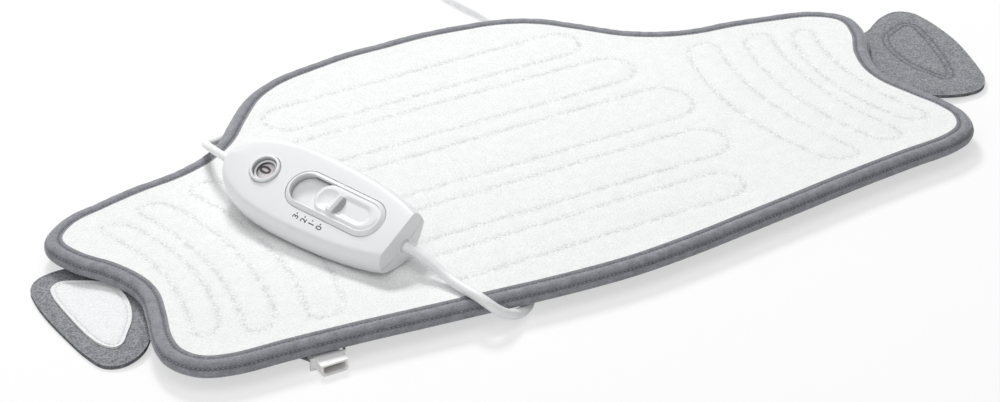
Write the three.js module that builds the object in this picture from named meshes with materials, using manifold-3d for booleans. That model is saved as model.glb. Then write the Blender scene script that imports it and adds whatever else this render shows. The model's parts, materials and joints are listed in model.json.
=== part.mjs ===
// A shaped electric heating pad with its hand controller, its two leads and their plugs.
// Millimetres, +Z up. +X runs along the pad, +Y points from the near edge to the crowned edge.
import * as THREE from 'three';
import { mergeVertices } from 'three/addons/utils/BufferGeometryUtils.js';
import Module from 'manifold-3d';

const wasm = await Module();
wasm.setup();

// Driving dimensions
const fleeceLength = 588;
const fleeceDepth = 311.2;
const padClearance = 8; // what lies under the pad lifts its back this far off the surface
const gap = 0.3; // between pieces that touch
const bindingWidth = 13;
const bindingHeight = 9.8;
const controllerLength = 138.6;
const controllerHalfWidth = 26.4;
const wallHeight = 11.5; // of the controller's upper shell
const shellWall = 2.2;
// Degrees: it lies rolled onto one flank of its keeled underside, its narrow end a little raised
const controllerRoll = 27.1;
const controllerPitch = 3;
const controllerYaw = -68.9;
const padCordDiameter = 6.5;
const mainsCordDiameter = 5.4;

const overrun = 20; // how far a cutting tool reaches past what it cuts
const weldTolerance = 1e-4; // corners nearer than this are one

// Layers of the pad, each from its underside up, above the pad's back
const layers = {
  backCover: { bottom: 0, thickness: 1 },
  lowerWadding: { thickness: 1 },
  wireCarrier: { thickness: 0.5 },
  wire: { diameter: 1.3 },
  upperWadding: { thickness: 1.2 },
  topFleece: { thickness: 2.7 },
};
layers.lowerWadding.bottom = layers.backCover.thickness + gap;
layers.wireCarrier.bottom = layers.lowerWadding.bottom + layers.lowerWadding.thickness + gap;
layers.wire.bottom = layers.wireCarrier.bottom + layers.wireCarrier.thickness + gap;
layers.upperWadding.bottom = layers.wire.bottom + layers.wire.diameter + gap;
layers.topFleece.bottom = layers.upperWadding.bottom + layers.upperWadding.thickness + gap;
const fleeceTop = padClearance + layers.topFleece.bottom + layers.topFleece.thickness;

// Materials
const finish = (color, roughness, metalness = 0) =>
  new THREE.MeshStandardMaterial({ color, roughness, metalness });
const colours = {
  fleece: 0xf4f4f3,
  wadding: 0xe9e7e2,
  greyFabric: 0x9698a0,
  hook: 0xf1f1ef,
  whitePlastic: 0xeceef0,
  greyPlastic: 0xb9bcc0,
  cord: 0xf0f1f2,
  metal: 0xc9c9c4,
  brass: 0xc7a35a,
  board: 0x2f6b46,
  black: 0x24262a,
  red: 0xd23b3b,
  clear: 0xdfe9ee,
};

const part = new THREE.Group();
const padGroup = new THREE.Group();
const controllerGroup = new THREE.Group();
part.add(padGroup);
padGroup.add(controllerGroup);

// A mesh geometry as a solid for joining and cutting, and back again
function solid(geometry) {
  const bare = geometry.index ? geometry.toNonIndexed() : geometry.clone();
  bare.deleteAttribute('normal');
  bare.deleteAttribute('uv');
  const merged = mergeVertices(bare, weldTolerance);
  return new wasm.Manifold(
    new wasm.Mesh({
      numProp: 3,
      vertProperties: merged.attributes.position.array,
      triVerts: new Uint32Array(merged.index.array),
    }),
  );
}
function surface(made) {
  const mesh = made.getMesh();
  const geometry = new THREE.BufferGeometry();
  geometry.setAttribute('position', new THREE.BufferAttribute(new Float32Array(mesh.vertProperties), 3));
  geometry.setIndex(new THREE.BufferAttribute(new Uint32Array(mesh.triVerts), 1));
  return geometry;
}
const joined = (solids) => solids.reduce((whole, next) => whole.add(next));
function addPart(group, name, shape, material) {
  const geometry = shape.isBufferGeometry ? shape : surface(shape);
  const plain = geometry.index ? geometry.toNonIndexed() : geometry;
  plain.computeVertexNormals();
  const mesh = new THREE.Mesh(plain, material);
  mesh.name = name;
  group.add(mesh);
  return mesh;
}

// Basic solids between named levels
function box(x0, x1, y0, y1, z0, z1) {
  const geometry = new THREE.BoxGeometry(x1 - x0, y1 - y0, z1 - z0);
  geometry.translate((x0 + x1) / 2, (y0 + y1) / 2, (z0 + z1) / 2);
  return solid(geometry);
}
function cylinder(radius, z0, z1, x = 0, y = 0, sides = 16, topRadius = radius) {
  const geometry = new THREE.CylinderGeometry(topRadius, radius, z1 - z0, sides);
  geometry.rotateX(Math.PI / 2);
  geometry.translate(x, y, (z0 + z1) / 2);
  return solid(geometry);
}
function cylinderAlongX(radius, x0, x1, y, z, sides = 16, endRadius = radius) {
  const geometry = new THREE.CylinderGeometry(endRadius, radius, x1 - x0, sides);
  geometry.rotateZ(-Math.PI / 2);
  geometry.translate((x0 + x1) / 2, y, z);
  return solid(geometry);
}
const shapeOf = (points) => new THREE.Shape(points.map(([x, y]) => new THREE.Vector2(x, y)));
function prism(points, z0, z1, holes = []) {
  const shape = shapeOf(points);
  holes.forEach((hole) => shape.holes.push(shapeOf(hole)));
  const geometry = new THREE.ExtrudeGeometry(shape, { depth: z1 - z0, bevelEnabled: false });
  geometry.translate(0, 0, z0);
  return solid(geometry);
}
// An upright profile in X and Z, carried along Y
function profileAlongY(points, y0, y1) {
  const geometry = new THREE.ExtrudeGeometry(shapeOf(points), { depth: y1 - y0, bevelEnabled: false });
  geometry.rotateX(Math.PI / 2);
  geometry.translate(0, y1, 0);
  return solid(geometry);
}

// A closed skin over rings of equal count, with a flat fan at each end
function loft(rings) {
  const count = rings[0].length;
  const points = rings.flat();
  const index = [];
  for (let ring = 0; ring < rings.length - 1; ring += 1) {
    for (let i = 0; i < count; i += 1) {
      const a = ring * count + i;
      const b = ring * count + ((i + 1) % count);
      index.push(a, b, a + count, b, b + count, a + count);
    }
  }
  for (const ring of [0, rings.length - 1]) {
    const centre = points.length;
    const middle = rings[ring].reduce((sum, p) => sum.add(p), new THREE.Vector3()).divideScalar(count);
    points.push(middle);
    for (let i = 0; i < count; i += 1) {
      const a = ring * count + i;
      const b = ring * count + ((i + 1) % count);
      if (ring === 0) index.push(centre, b, a);
      else index.push(centre, a, b);
    }
  }
  const geometry = new THREE.BufferGeometry().setFromPoints(points);
  geometry.setIndex(index);
  return geometry;
}
// A round tube through given points, its section turned with the path
function tube(points, radius, sides) {
  const tangents = points.map((p, i) =>
    points[Math.min(i + 1, points.length - 1)].clone().sub(points[Math.max(i - 1, 0)]).normalize());
  let side = new THREE.Vector3(0, 0, 1).cross(tangents[0]).normalize();
  const rings = points.map((p, i) => {
    side = side.sub(tangents[i].clone().multiplyScalar(side.dot(tangents[i]))).normalize();
    const up = tangents[i].clone().cross(side);
    return Array.from({ length: sides }, (_, k) => {
      const angle = ((k + 0.5) / sides) * 2 * Math.PI;
      return p.clone()
        .addScaledVector(side, radius * Math.cos(angle))
        .addScaledVector(up, radius * Math.sin(angle));
    });
  });
  return loft(rings);
}
// A cord's free stretch: a many-sided section carried along a smooth curve
function cordTube(points, diameter, sides, steps) {
  const path = new THREE.CatmullRomCurve3(points, false, 'centripetal');
  const section = Array.from({ length: sides }, (_, k) => {
    const angle = ((k + 0.5) / sides) * 2 * Math.PI;
    return [(diameter / 2) * Math.cos(angle), (diameter / 2) * Math.sin(angle)];
  });
  return {
    geometry: new THREE.ExtrudeGeometry(shapeOf(section), { steps, extrudePath: path, bevelEnabled: false }),
    length: path.getLength(),
  };
}

// Outline of the fleece, one half from the crown round to the near edge, as shares of half its
// length and half its depth
const outlineShares = [
  [0, 0.99], [0.1, 0.99], [0.2, 0.965], [0.285, 0.932], [0.36, 0.858], [0.43, 0.724], [0.5, 0.577],
  [0.575, 0.48], [0.66, 0.421], [0.77, 0.39], [0.865, 0.348], [0.945, 0.302], [0.99, 0.215],
  [0.975, 0.09], [0.93, -0.05], [0.902, -0.2], [0.9, -0.33], [0.922, -0.49], [0.945, -0.63],
  [0.948, -0.73], [0.925, -0.805], [0.875, -0.842], [0.76, -0.858], [0.6, -0.886], [0.45, -0.92],
  [0.3, -0.952], [0.15, -0.983], [0, -0.998],
];
const outlineSteps = 84;
const outlineCurve = new THREE.CatmullRomCurve3(
  [...outlineShares, ...outlineShares.slice(1, -1).reverse().map(([x, y]) => [-x, y])]
    .map(([x, y]) => new THREE.Vector3((x * fleeceLength) / 2, (y * fleeceDepth) / 2, 0)),
  true,
  'centripetal',
);
const outline = Array.from({ length: outlineSteps }, (_, i) => outlineCurve.getPoint(i / outlineSteps));
// The outline moved outwards by a distance, at right angles to itself
const outlineAt = (distance) => outline.map((p, i) => {
  const along = outline[(i + 1) % outlineSteps].clone()
    .sub(outline[(i + outlineSteps - 1) % outlineSteps]).normalize();
  return [p.x - along.y * distance, p.y + along.x * distance];
});

// Pad layers
const layerReach = bindingWidth - 3 * gap - layers.backCover.thickness - layers.lowerWadding.thickness;
function padLayer(name, size, reach, material) {
  const bottom = padClearance + size.bottom;
  return addPart(padGroup, name, prism(outlineAt(reach), bottom, bottom + size.thickness), material);
}
padLayer('back_cover', layers.backCover, -gap, finish(colours.greyFabric, 0.95));
padLayer('lower_wadding', layers.lowerWadding, layerReach, finish(colours.wadding, 1));
padLayer('wire_carrier', layers.wireCarrier, layerReach, finish(colours.wadding, 1));
padLayer('upper_wadding', layers.upperWadding, layerReach, finish(colours.wadding, 1));

// Channels pressed into the fleece: closed loops along the middle, and bowed loops across each wing.
// Middle loops: centre height, half width and half length as shares of half the depth and length.
const middleLoopShares = [
  [0.656, 0.1, 0.405], [0.34, 0.114, 0.451], [-0.026, 0.134, 0.486], [-0.393, 0.115, 0.456],
  [-0.724, 0.1, 0.381],
];
// Wing loops: middle x, bow at the ends, half width, centre height and half span
const wingLoopShares = [
  [0.588, 0.058, 0.042, -0.228, 0.578],
  [0.733, 0.05, 0.036, -0.231, 0.533],
  [0.837, 0.05, 0.03, -0.228, 0.46],
];
const channel = { width: 2.2, depth: 0.8, capSteps: 6, sideSteps: 4 };
// A long loop with round ends whose middle line may bow, grown by a distance
function loopOutline({ x, y, halfSpan, halfWidth, bow, turned }, grow) {
  const width = halfWidth + grow;
  const reach = halfSpan - halfWidth;
  const points = [];
  for (const end of [1, -1]) {
    for (let i = 0; i <= channel.capSteps; i += 1) {
      const angle = (Math.PI * i) / channel.capSteps;
      points.push([end * width * Math.cos(angle), end * (reach + width * Math.sin(angle))]);
    }
    for (let i = 1; i < channel.sideSteps && bow !== 0; i += 1) {
      points.push([-end * width, end * reach * (1 - (2 * i) / channel.sideSteps)]);
    }
  }
  const placed = points.map(([across, along]) =>
    [across + bow * (along / halfSpan) ** 2, along]);
  return placed.map(([across, along]) =>
    (turned ? [x - along, y + across] : [x + across, y + along]));
}
function topFleece() {
  const bottom = padClearance + layers.topFleece.bottom;
  const rolled = { size: 3.5, depth: 1 }; // the edge is drawn in towards the binding
  const geometry = new THREE.ExtrudeGeometry(shapeOf(outlineAt(-gap - rolled.size)), {
    depth: layers.topFleece.thickness,
    bevelEnabled: true,
    bevelThickness: rolled.depth,
    bevelSize: rolled.size,
    bevelSegments: 1,
  });
  geometry.translate(0, 0, bottom - rolled.depth);
  const halfX = fleeceLength / 2;
  const halfY = fleeceDepth / 2;
  const middle = middleLoopShares.map(([y, width, reach]) => ({
    x: 0, y: y * halfY, halfSpan: reach * halfX, halfWidth: width * halfY, bow: 0, turned: true,
  }));
  const wings = [1, -1].flatMap((side) => wingLoopShares.map(([x, bow, width, y, span]) => ({
    x: side * x * halfX,
    y: y * halfY,
    halfSpan: span * halfY,
    halfWidth: width * halfX,
    bow: side * bow * halfX,
    turned: false,
  })));
  const floor = fleeceTop - channel.depth;
  const grooves = [...middle, ...wings].map((loop) =>
    prism(loopOutline(loop, channel.width / 2), floor, fleeceTop + overrun,
      [loopOutline(loop, -channel.width / 2)]));
  const body = solid(geometry).intersect(
    box(-halfX - overrun, halfX + overrun, -halfY - overrun, halfY + overrun, bottom, fleeceTop));
  return body.subtract(joined(grooves));
}
addPart(padGroup, 'top_fleece', topFleece(), finish(colours.fleece, 1));

// Edge binding: a folded strip whose C section grips the layers all round
function edgeBinding() {
  const lip = layers.backCover.thickness;
  const cavity = layerReach + gap;
  const upperLip = layers.topFleece.bottom;
  // how far out and how high each corner of the section stands, as shares of width and height
  const sectionShares = [[0.8, 0], [0.96, 0.2], [1, 0.5], [0.94, 0.82], [0.7, 0.985], [0.1, 1]];
  const section = [
    [0, 0],
    ...sectionShares.map(([out, up]) => [out * bindingWidth, up * bindingHeight]),
    [0, layers.topFleece.bottom + layers.topFleece.thickness],
    [0, upperLip],
    [cavity, upperLip],
    [cavity, lip],
    [0, lip],
  ];
  const lines = section.map(([out, up]) => outlineAt(out).map(([x, y]) =>
    new THREE.Vector3(x, y, padClearance + up)));
  const points = lines.flat();
  const count = section.length;
  const index = [];
  for (let k = 0; k < count; k += 1) {
    for (let i = 0; i < outlineSteps; i += 1) {
      const a = k * outlineSteps + i;
      const b = k * outlineSteps + ((i + 1) % outlineSteps);
      const c = ((k + 1) % count) * outlineSteps + i;
      const d = ((k + 1) % count) * outlineSteps + ((i + 1) % outlineSteps);
      index.push(a, c, b, b, c, d);
    }
  }
  const geometry = new THREE.BufferGeometry().setFromPoints(points);
  geometry.setIndex(index);
  return geometry;
}
addPart(padGroup, 'edge_binding', edgeBinding(), finish(colours.greyFabric, 0.95));

// Heating wire: one serpentine along the middle, laid on the carrier
const wireRun = {
  // how far out each turn lies, from the near edge to the crown, as shares of half the length
  turnShares: [0.6, 0.6, 0.58, 0.56, 0.56, 0.56, 0.54, 0.42, 0.34],
  depthShare: 0.84,
  turnSteps: 4,
  sides: 4,
};
function heatingWire() {
  const rows = wireRun.turnShares.length + 1;
  const rowPitch = (wireRun.depthShare * fleeceDepth) / rows;
  const radius = rowPitch / 2;
  const height = padClearance + layers.wire.bottom + layers.wire.diameter / 2;
  const lastTurn = wireRun.turnShares.length - 1;
  const points = [];
  for (let row = 0; row < rows; row += 1) {
    const y = (row - (rows - 1) / 2) * rowPitch;
    const side = row % 2 ? -1 : 1;
    const reach = [Math.max(0, row - 1), Math.min(row, lastTurn)]
      .map((turn) => (wireRun.turnShares[turn] * fleeceLength) / 2);
    points.push(new THREE.Vector3(-side * reach[0], y, height));
    points.push(new THREE.Vector3(side * reach[1], y, height));
    for (let i = 1; i < wireRun.turnSteps && row <= lastTurn; i += 1) {
      const angle = (Math.PI * i) / wireRun.turnSteps;
      points.push(new THREE.Vector3(side * (reach[1] + radius * Math.sin(angle)),
        y + radius - radius * Math.cos(angle), height));
    }
  }
  return tube(points, layers.wire.diameter / 2, wireRun.sides);
}
addPart(padGroup, 'heating_wire', heatingWire(), finish(colours.brass, 0.4, 0.8));

// Overheat cut-out between two rows of the wire
const cutout = { length: 14, width: 5 };
addPart(padGroup, 'overheat_cutout', (() => {
  const bottom = padClearance + layers.wire.bottom;
  return box(-cutout.length / 2, cutout.length / 2, -cutout.width / 2, cutout.width / 2,
    bottom, bottom + layers.wire.diameter);
})(), finish(colours.metal, 0.35, 0.8));

// End tabs: half-round flaps sewn under the ends of the pad, drooping to the surface. Their outlines
// run round as shares of the length and of the depth in from the outer edge, from the near corner.
const leftTabShares = [
  [-0.485, 0.43], [-0.5, 0.29], [-0.463, 0.165], [-0.33, 0.085], [-0.15, 0.035], [0.126, -0.018],
  [0.3, -0.02], [0.415, 0.01], [0.49, 0.12], [0.51, 0.33], [0.44, 0.58], [0.3, 0.82], [0.14, 0.97],
  [0, 1], [-0.1, 0.96], [-0.22, 0.82], [-0.34, 0.66], [-0.44, 0.54],
];
const rightTabShares = [
  [-0.53, 0.4], [-0.53, 0.193], [-0.5, 0.08], [-0.41, -0.003], [-0.28, -0.035], [-0.12, -0.055],
  [0.063, -0.062], [0.25, -0.04], [0.41, 0.005], [0.5, 0.06], [0.535, 0.16], [0.48, 0.31],
  [0.4, 0.42], [0.32, 0.52], [0.2, 0.8], [0.05, 0.96], [-0.15, 1], [-0.36, 0.9], [-0.48, 0.66],
];
const patchShares = [
  [-0.36, 0.36], [-0.3, 0.2], [-0.2, 0.11], [-0.093, 0.06], [0.12, 0], [0.28, -0.01], [0.35, 0.04],
  [0.385, 0.2], [0.35, 0.45], [0.24, 0.84], [0.15, 0.96], [0.043, 0.99], [-0.07, 0.95],
  [-0.177, 0.84], [-0.28, 0.64], [-0.35, 0.48],
];
const tab = {
  thickness: 3,
  waistShare: 0.9, // where the pad's end is narrowest, as a share of half its length
  droopFrom: 60, // depth at which the flap starts down from the pad's back
  droopTo: 16,
  patchThickness: 1.1,
  patchDepth: 37,
  patchOffset: 8.8, // from the tab's outer edge to the hook patch
  steps: 30,
};
const leftTab = { length: 111, depth: 68, reach: 48 }; // reach: how far it stands past the binding
const rightTab = { length: 114, depth: 90, reach: 75 };
// Each tab's place along the pad's end, as a share of half the pad's depth, and its turn in degrees
const tabPlaces = [
  { side: 'left', size: leftTab, shares: leftTabShares, heightShare: -0.212, turn: -3.5 },
  { side: 'right', size: rightTab, shares: rightTabShares, heightShare: -0.116, turn: -11 },
];
// A sheet that follows the flap's droop, between two heights above its underside
function flapSheet(outlinePoints, outerLevel, z0, z1) {
  const inner = padClearance - gap - tab.thickness;
  const line = [
    [-overrun, outerLevel],
    [tab.droopTo, outerLevel],
    [tab.droopFrom, inner],
    [2 * tab.droopFrom + overrun, inner],
  ];
  const band = [
    ...line.map(([t, z]) => [t, z + z0]),
    ...line.map(([t, z]) => [t, z + z1]).reverse(),
  ];
  return profileAlongY(band, -2 * tab.droopFrom, 2 * tab.droopFrom)
    .intersect(prism(outlinePoints, -overrun, overrun));
}
function tabOutline(shares, length, depth, offset) {
  const curve = new THREE.CatmullRomCurve3(
    shares.map(([s, t]) => new THREE.Vector3(offset + t * depth, s * length, 0)), true, 'centripetal');
  return Array.from({ length: tab.steps }, (_, i) => {
    const p = curve.getPoint(i / tab.steps);
    return [p.x, p.y];
  }).reverse();
}
for (const { side, size, shares, heightShare, turn } of tabPlaces) {
  const group = new THREE.Group();
  const isLeft = side === 'left';
  const outwards = isLeft ? -1 : 1;
  group.position.set(
    outwards * ((tab.waistShare * fleeceLength) / 2 + bindingWidth + size.reach),
    (heightShare * fleeceDepth) / 2,
    0,
  );
  // The right tab is the left one's mirror image, with its patch turned to the surface
  group.rotation.z = THREE.MathUtils.degToRad(turn);
  padGroup.add(group);
  const mirrored = (made) => (isLeft ? made : made.mirror([1, 0, 0]));
  const patchUnder = isLeft ? 0 : tab.patchThickness + gap;
  addPart(group, `${side}_tab`,
    mirrored(flapSheet(tabOutline(shares, size.length, size.depth, 0), patchUnder, 0, tab.thickness)),
    finish(colours.greyFabric, 0.95));
  const patchLevel = isLeft ? tab.thickness + gap : -gap - tab.patchThickness;
  addPart(group, `${side}_hook_patch`,
    mirrored(flapSheet(tabOutline(patchShares, size.length, tab.patchDepth, tab.patchOffset),
      patchUnder, patchLevel, patchLevel + tab.patchThickness)),
    finish(colours.hook, 0.9));
}

// Pad socket: the connector under the near edge, open towards the viewer
const socket = {
  x: -202.7,
  front: -158,
  back: -124,
  width: 17.6,
  height: padClearance - gap,
  wall: 1.25,
  mouthDepth: 15,
  chamfer: 1.8,
  flange: { y: -149, thickness: 1.4, reach: 2.6 },
  pin: { diameter: 1.2, length: 5, count: 4 },
  insertDepth: 4,
  gusset: { width: 7, depth: 14, thickness: 1.2 },
};
const mouth = {
  halfWidth: socket.width / 2 - socket.wall,
  bottom: socket.wall,
  top: socket.height - socket.wall,
};
// The mouth's outline with its lower corners cut off, shrunk by a distance, carried along Y
function mouthBlock(shrink, y0, y1) {
  const half = mouth.halfWidth - shrink;
  const low = mouth.bottom + shrink;
  const high = mouth.top - shrink;
  return profileAlongY([
    [socket.x - half + socket.chamfer, low], [socket.x + half - socket.chamfer, low],
    [socket.x + half, low + socket.chamfer], [socket.x + half, high],
    [socket.x - half, high], [socket.x - half, low + socket.chamfer],
  ], y0, y1);
}
function socketHousing() {
  const half = socket.width / 2;
  const low = socket.chamfer;
  const outer = profileAlongY([
    [socket.x - half + low, 0], [socket.x + half - low, 0], [socket.x + half, low],
    [socket.x + half, socket.height], [socket.x - half, socket.height], [socket.x - half, low],
  ], socket.front, socket.back);
  const flange = box(socket.x - half - socket.flange.reach, socket.x + half + socket.flange.reach,
    socket.flange.y, socket.flange.y + socket.flange.thickness, 0, socket.height);
  return outer.add(flange)
    .subtract(mouthBlock(0, socket.front - overrun, socket.front + socket.mouthDepth));
}
const socketMaterial = finish(colours.whitePlastic, 0.35);
addPart(padGroup, 'socket_housing', socketHousing(), socketMaterial);
const insertFace = socket.front + socket.mouthDepth - gap - socket.insertDepth;
addPart(padGroup, 'socket_insert',
  mouthBlock(gap, insertFace, insertFace + socket.insertDepth), finish(colours.greyPlastic, 0.5));
for (let i = 0; i < socket.pin.count; i += 1) {
  const radius = socket.pin.diameter / 2;
  const pitch = (2 * mouth.halfWidth) / (socket.pin.count + 1);
  const pin = cylinder(radius, 0, socket.pin.length, 0, 0, 8);
  const turned = pin.rotate([90, 0, 0]).translate([
    socket.x + (i - (socket.pin.count - 1) / 2) * pitch,
    insertFace - gap,
    (mouth.bottom + mouth.top) / 2,
  ]);
  addPart(padGroup, `socket_pin_${i + 1}`, turned, finish(colours.brass, 0.3, 0.9));
}
for (const [side, name] of [[-1, 'left'], [1, 'right']]) {
  const { width, depth, thickness } = socket.gusset;
  const inner = socket.x + side * (socket.width / 2 + socket.flange.reach + gap);
  const outerEnd = inner + side * width;
  const front = socket.flange.y;
  const points = [[inner, front], [outerEnd, front + depth], [inner, front + depth]];
  addPart(padGroup, `socket_gusset_${name}`,
    prism(side > 0 ? points : points.reverse(), padClearance - gap - thickness, padClearance - gap),
    finish(colours.greyFabric, 0.95));
}

// Controller, drawn in its own frame: x = 0 at its wide end, -x towards its narrow end, z = 0 on
// its face. It rests rolled onto one flank of its keel.
const controller = {
  flare: 4.3, // how much wider the parting line is than the face
  flareStartShare: 0.75, // of the flare is reached halfway down the wall
  lip: 2.5, // upright band of the lower shell, above its keel
  crown: 0.7,
  edgeRadius: 1.6,
  endBulge: 2,
  keelSlope: Math.tan(THREE.MathUtils.degToRad(controllerRoll)),
};
// Half width of the face along the length, as shares of the length and of the greatest half width
const faceShares = [
  [0, 0.655], [0.06, 0.755], [0.14, 0.845], [0.25, 0.93], [0.37, 0.98], [0.5, 1], [0.63, 0.99],
  [0.75, 0.925], [0.84, 0.8], [0.915, 0.615], [0.97, 0.37], [1, 0.1],
];
const halfWidthAt = (share) => {
  const next = Math.max(1, faceShares.findIndex(([s]) => s >= share));
  const [s0, w0] = faceShares[next - 1];
  const [s1, w1] = faceShares[next];
  return controllerHalfWidth * (w0 + ((w1 - w0) * (share - s0)) / (s1 - s0));
};
// One side of a section, from the parting line up to the middle of the face
function upperSection(share, inset) {
  const width = halfWidthAt(share);
  const top = width - inset;
  const foot = width + controller.flare - inset;
  const round = controller.edgeRadius;
  return [
    [foot, -wallHeight + gap / 2],
    [foot - controller.flare * (1 - controller.flareStartShare), -wallHeight / 2 - inset],
    [top + round * 0.5, -round - inset],
    [top - round * 0.2, -round * 0.25 - inset],
    [top - round * 1.2, -inset],
    [top * 0.5, controller.crown * 0.75 - inset],
    [0, controller.crown - inset],
  ];
}
function lowerSection(share, inset) {
  const foot = halfWidthAt(share) + controller.flare - inset;
  const depth = foot * controller.keelSlope;
  const start = -wallHeight - gap / 2;
  const keelStart = start - controller.lip;
  return [
    [foot, start],
    [foot, keelStart],
    [foot * 0.6, keelStart - depth * 0.4],
    [foot * 0.14, keelStart - depth * 0.86],
    [0, keelStart - depth * 0.93],
  ];
}
function shellSolid(sectionAt, inset, upward) {
  const rings = faceShares.map(([share]) => {
    const half = sectionAt(share, share === 1 ? inset * 0.3 : inset);
    const mirrored = half.slice(0, -1).reverse().map(([y, z]) => [-y, z]);
    const loop = [...half, ...mirrored];
    const widest = half[0][0];
    return loop.map(([y, z]) => {
      const bulge = share === 0 ? controller.endBulge * (1 - (y / widest) ** 2) : 0;
      const x = bulge - share * controllerLength + inset * (share - (1 - share));
      return new THREE.Vector3(x, y, z);
    });
  });
  const geometry = loft(upward ? rings.map((ring) => ring.reverse()) : rings);
  return solid(geometry);
}

// Where the controller's own pieces stand: along it from the wide end, as shares of its length, and
// across it from its middle, as shares of its greatest half width
const along = (share) => -share * controllerLength;
const across = (share) => share * controllerHalfWidth;
const placeShares = { window: 0.777, slotLeft: 0.527, slotRight: 0.188, fuse: 0.46, triac: 0.41,
  capacitor: 0.45 };
const display = { x: along(placeShares.window), ringRadius: 9.9, ringHeight: 1.8, ledgeRadius: 8.1,
  ledgeDepth: 0.6, openingRadius: 6.2, openingDepth: 1.3, seatRadius: 6.7, collarWall: 1.3,
  collarDepth: 2.4 };
const slot = { leftCentre: along(placeShares.slotLeft), rightCentre: along(placeShares.slotRight),
  radius: 10.7, rimWall: 2.2, rimHeight: 1.8, floorDepth: 3.2, floorThickness: 2, blockWall: 1.5,
  capSteps: 10 };
slot.floorTop = -slot.floorDepth;
const steps = { pitch: 6.4, count: 3 };
const travel = steps.pitch * steps.count;
const leg = { setback: 12, length: 5, width: 3.2 };
leg.x = slot.rightCentre - leg.setback;
const teeth = { perStep: 8 / 3, addendum: 0.65, dedendum: 0.9, tipWidth: 0.5, rootWidth: 1.4 };
teeth.pitch = steps.pitch / teeth.perStep;
const pinion = { teeth: 16, thickness: 6, boreRadius: 1.75, pinRadius: 1.5 };
pinion.radius = (pinion.teeth * teeth.pitch) / (2 * Math.PI);
// The disc turns in the room between the window and the slot
const discRoom = slot.leftCentre - slot.radius - slot.blockWall - display.x;
const disc = { centreShare: 0.29, radiusShare: 0.58, thickness: 1.2, top: -display.collarDepth - gap };
disc.x = display.x + disc.centreShare * discRoom;
disc.radius = disc.radiusShare * discRoom;
const rack = { backWidth: 2.6, thickness: 2.4, endMargin: 2.2 };
const board = { depth: 11.8, thickness: 1.6, startShare: 0.144, endShare: 0.84, widthShare: 0.7 };
board.top = -board.depth;
const cordAxis = -wallHeight;
const grip = { padRadius: 3.9, mainsRadius: 3.6, inside: 15, padOutside: 0.6, mainsOutside: 1.6,
  mainsTipRadius: 3.1, collar: 1.2, collarLength: 3 };
const screwShares = [[0.094, 0.43], [0.094, -0.43], [0.9, -0.31]];
const screws = screwShares.map(([share, side]) => ({ x: along(share), y: across(side) }));
const screw = { radius: 1.4, headRadius: 2.6, headHeight: 1.8, bossRadius: 3.6, holeSpare: 0.35,
  reach: 8 };

const obround = (left, right, radius) => {
  const points = [];
  for (const [centre, start] of [[right, -Math.PI / 2], [left, Math.PI / 2]]) {
    for (let i = 0; i <= slot.capSteps; i += 1) {
      const angle = start + (Math.PI * i) / slot.capSteps;
      points.push([centre + radius * Math.cos(angle), radius * Math.sin(angle)]);
    }
  }
  return points;
};
const slotBottom = slot.floorTop - slot.floorThickness;
const faceTop = controller.crown;
const insideTop = -shellWall; // underside of the face, inside the shell

function upperShell() {
  const outer = shellSolid(upperSection, 0, true);
  const inner = shellSolid(upperSection, shellWall, true)
    .add(shellSolid(upperSection, shellWall, true).translate([0, 0, -gap]));
  let body = outer.subtract(inner);
  const rim = prism(obround(slot.leftCentre, slot.rightCentre, slot.radius + slot.rimWall),
    insideTop, faceTop + slot.rimHeight);
  const well = prism(obround(slot.leftCentre, slot.rightCentre, slot.radius + slot.blockWall),
    slotBottom, faceTop);
  const ring = cylinder(display.ringRadius, insideTop, faceTop + display.ringHeight, display.x, 0, 24);
  const collar = cylinder(display.seatRadius + display.collarWall, -display.collarDepth, faceTop,
    display.x, 0, 20);
  const bosses = screws.map(({ x, y }) =>
    cylinder(screw.bossRadius, -wallHeight + gap / 2, insideTop + controller.crown / 2, x, y, 12));
  body = joined([body, rim, well, ring, collar, ...bosses]);
  const legPath = box(leg.x - leg.length / 2 - travel - gap, leg.x + leg.length / 2 + gap,
    -leg.width / 2 - gap, leg.width / 2 + gap, slotBottom - overrun, 0);
  const cuts = [
    prism(obround(slot.leftCentre, slot.rightCentre, slot.radius), slot.floorTop, overrun),
    cylinder(display.ledgeRadius, -display.ledgeDepth, overrun, display.x, 0, 24),
    cylinder(display.openingRadius, -overrun, overrun, display.x, 0, 20),
    cylinder(display.seatRadius, -overrun, -display.openingDepth, display.x, 0, 20),
    legPath,
    ...screws.map(({ x, y }) => cylinder(screw.radius + screw.holeSpare, -wallHeight - overrun,
      -wallHeight + screw.reach, x, y, 10)),
    cordHoles(),
  ];
  return body.subtract(joined(cuts));
}
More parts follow.
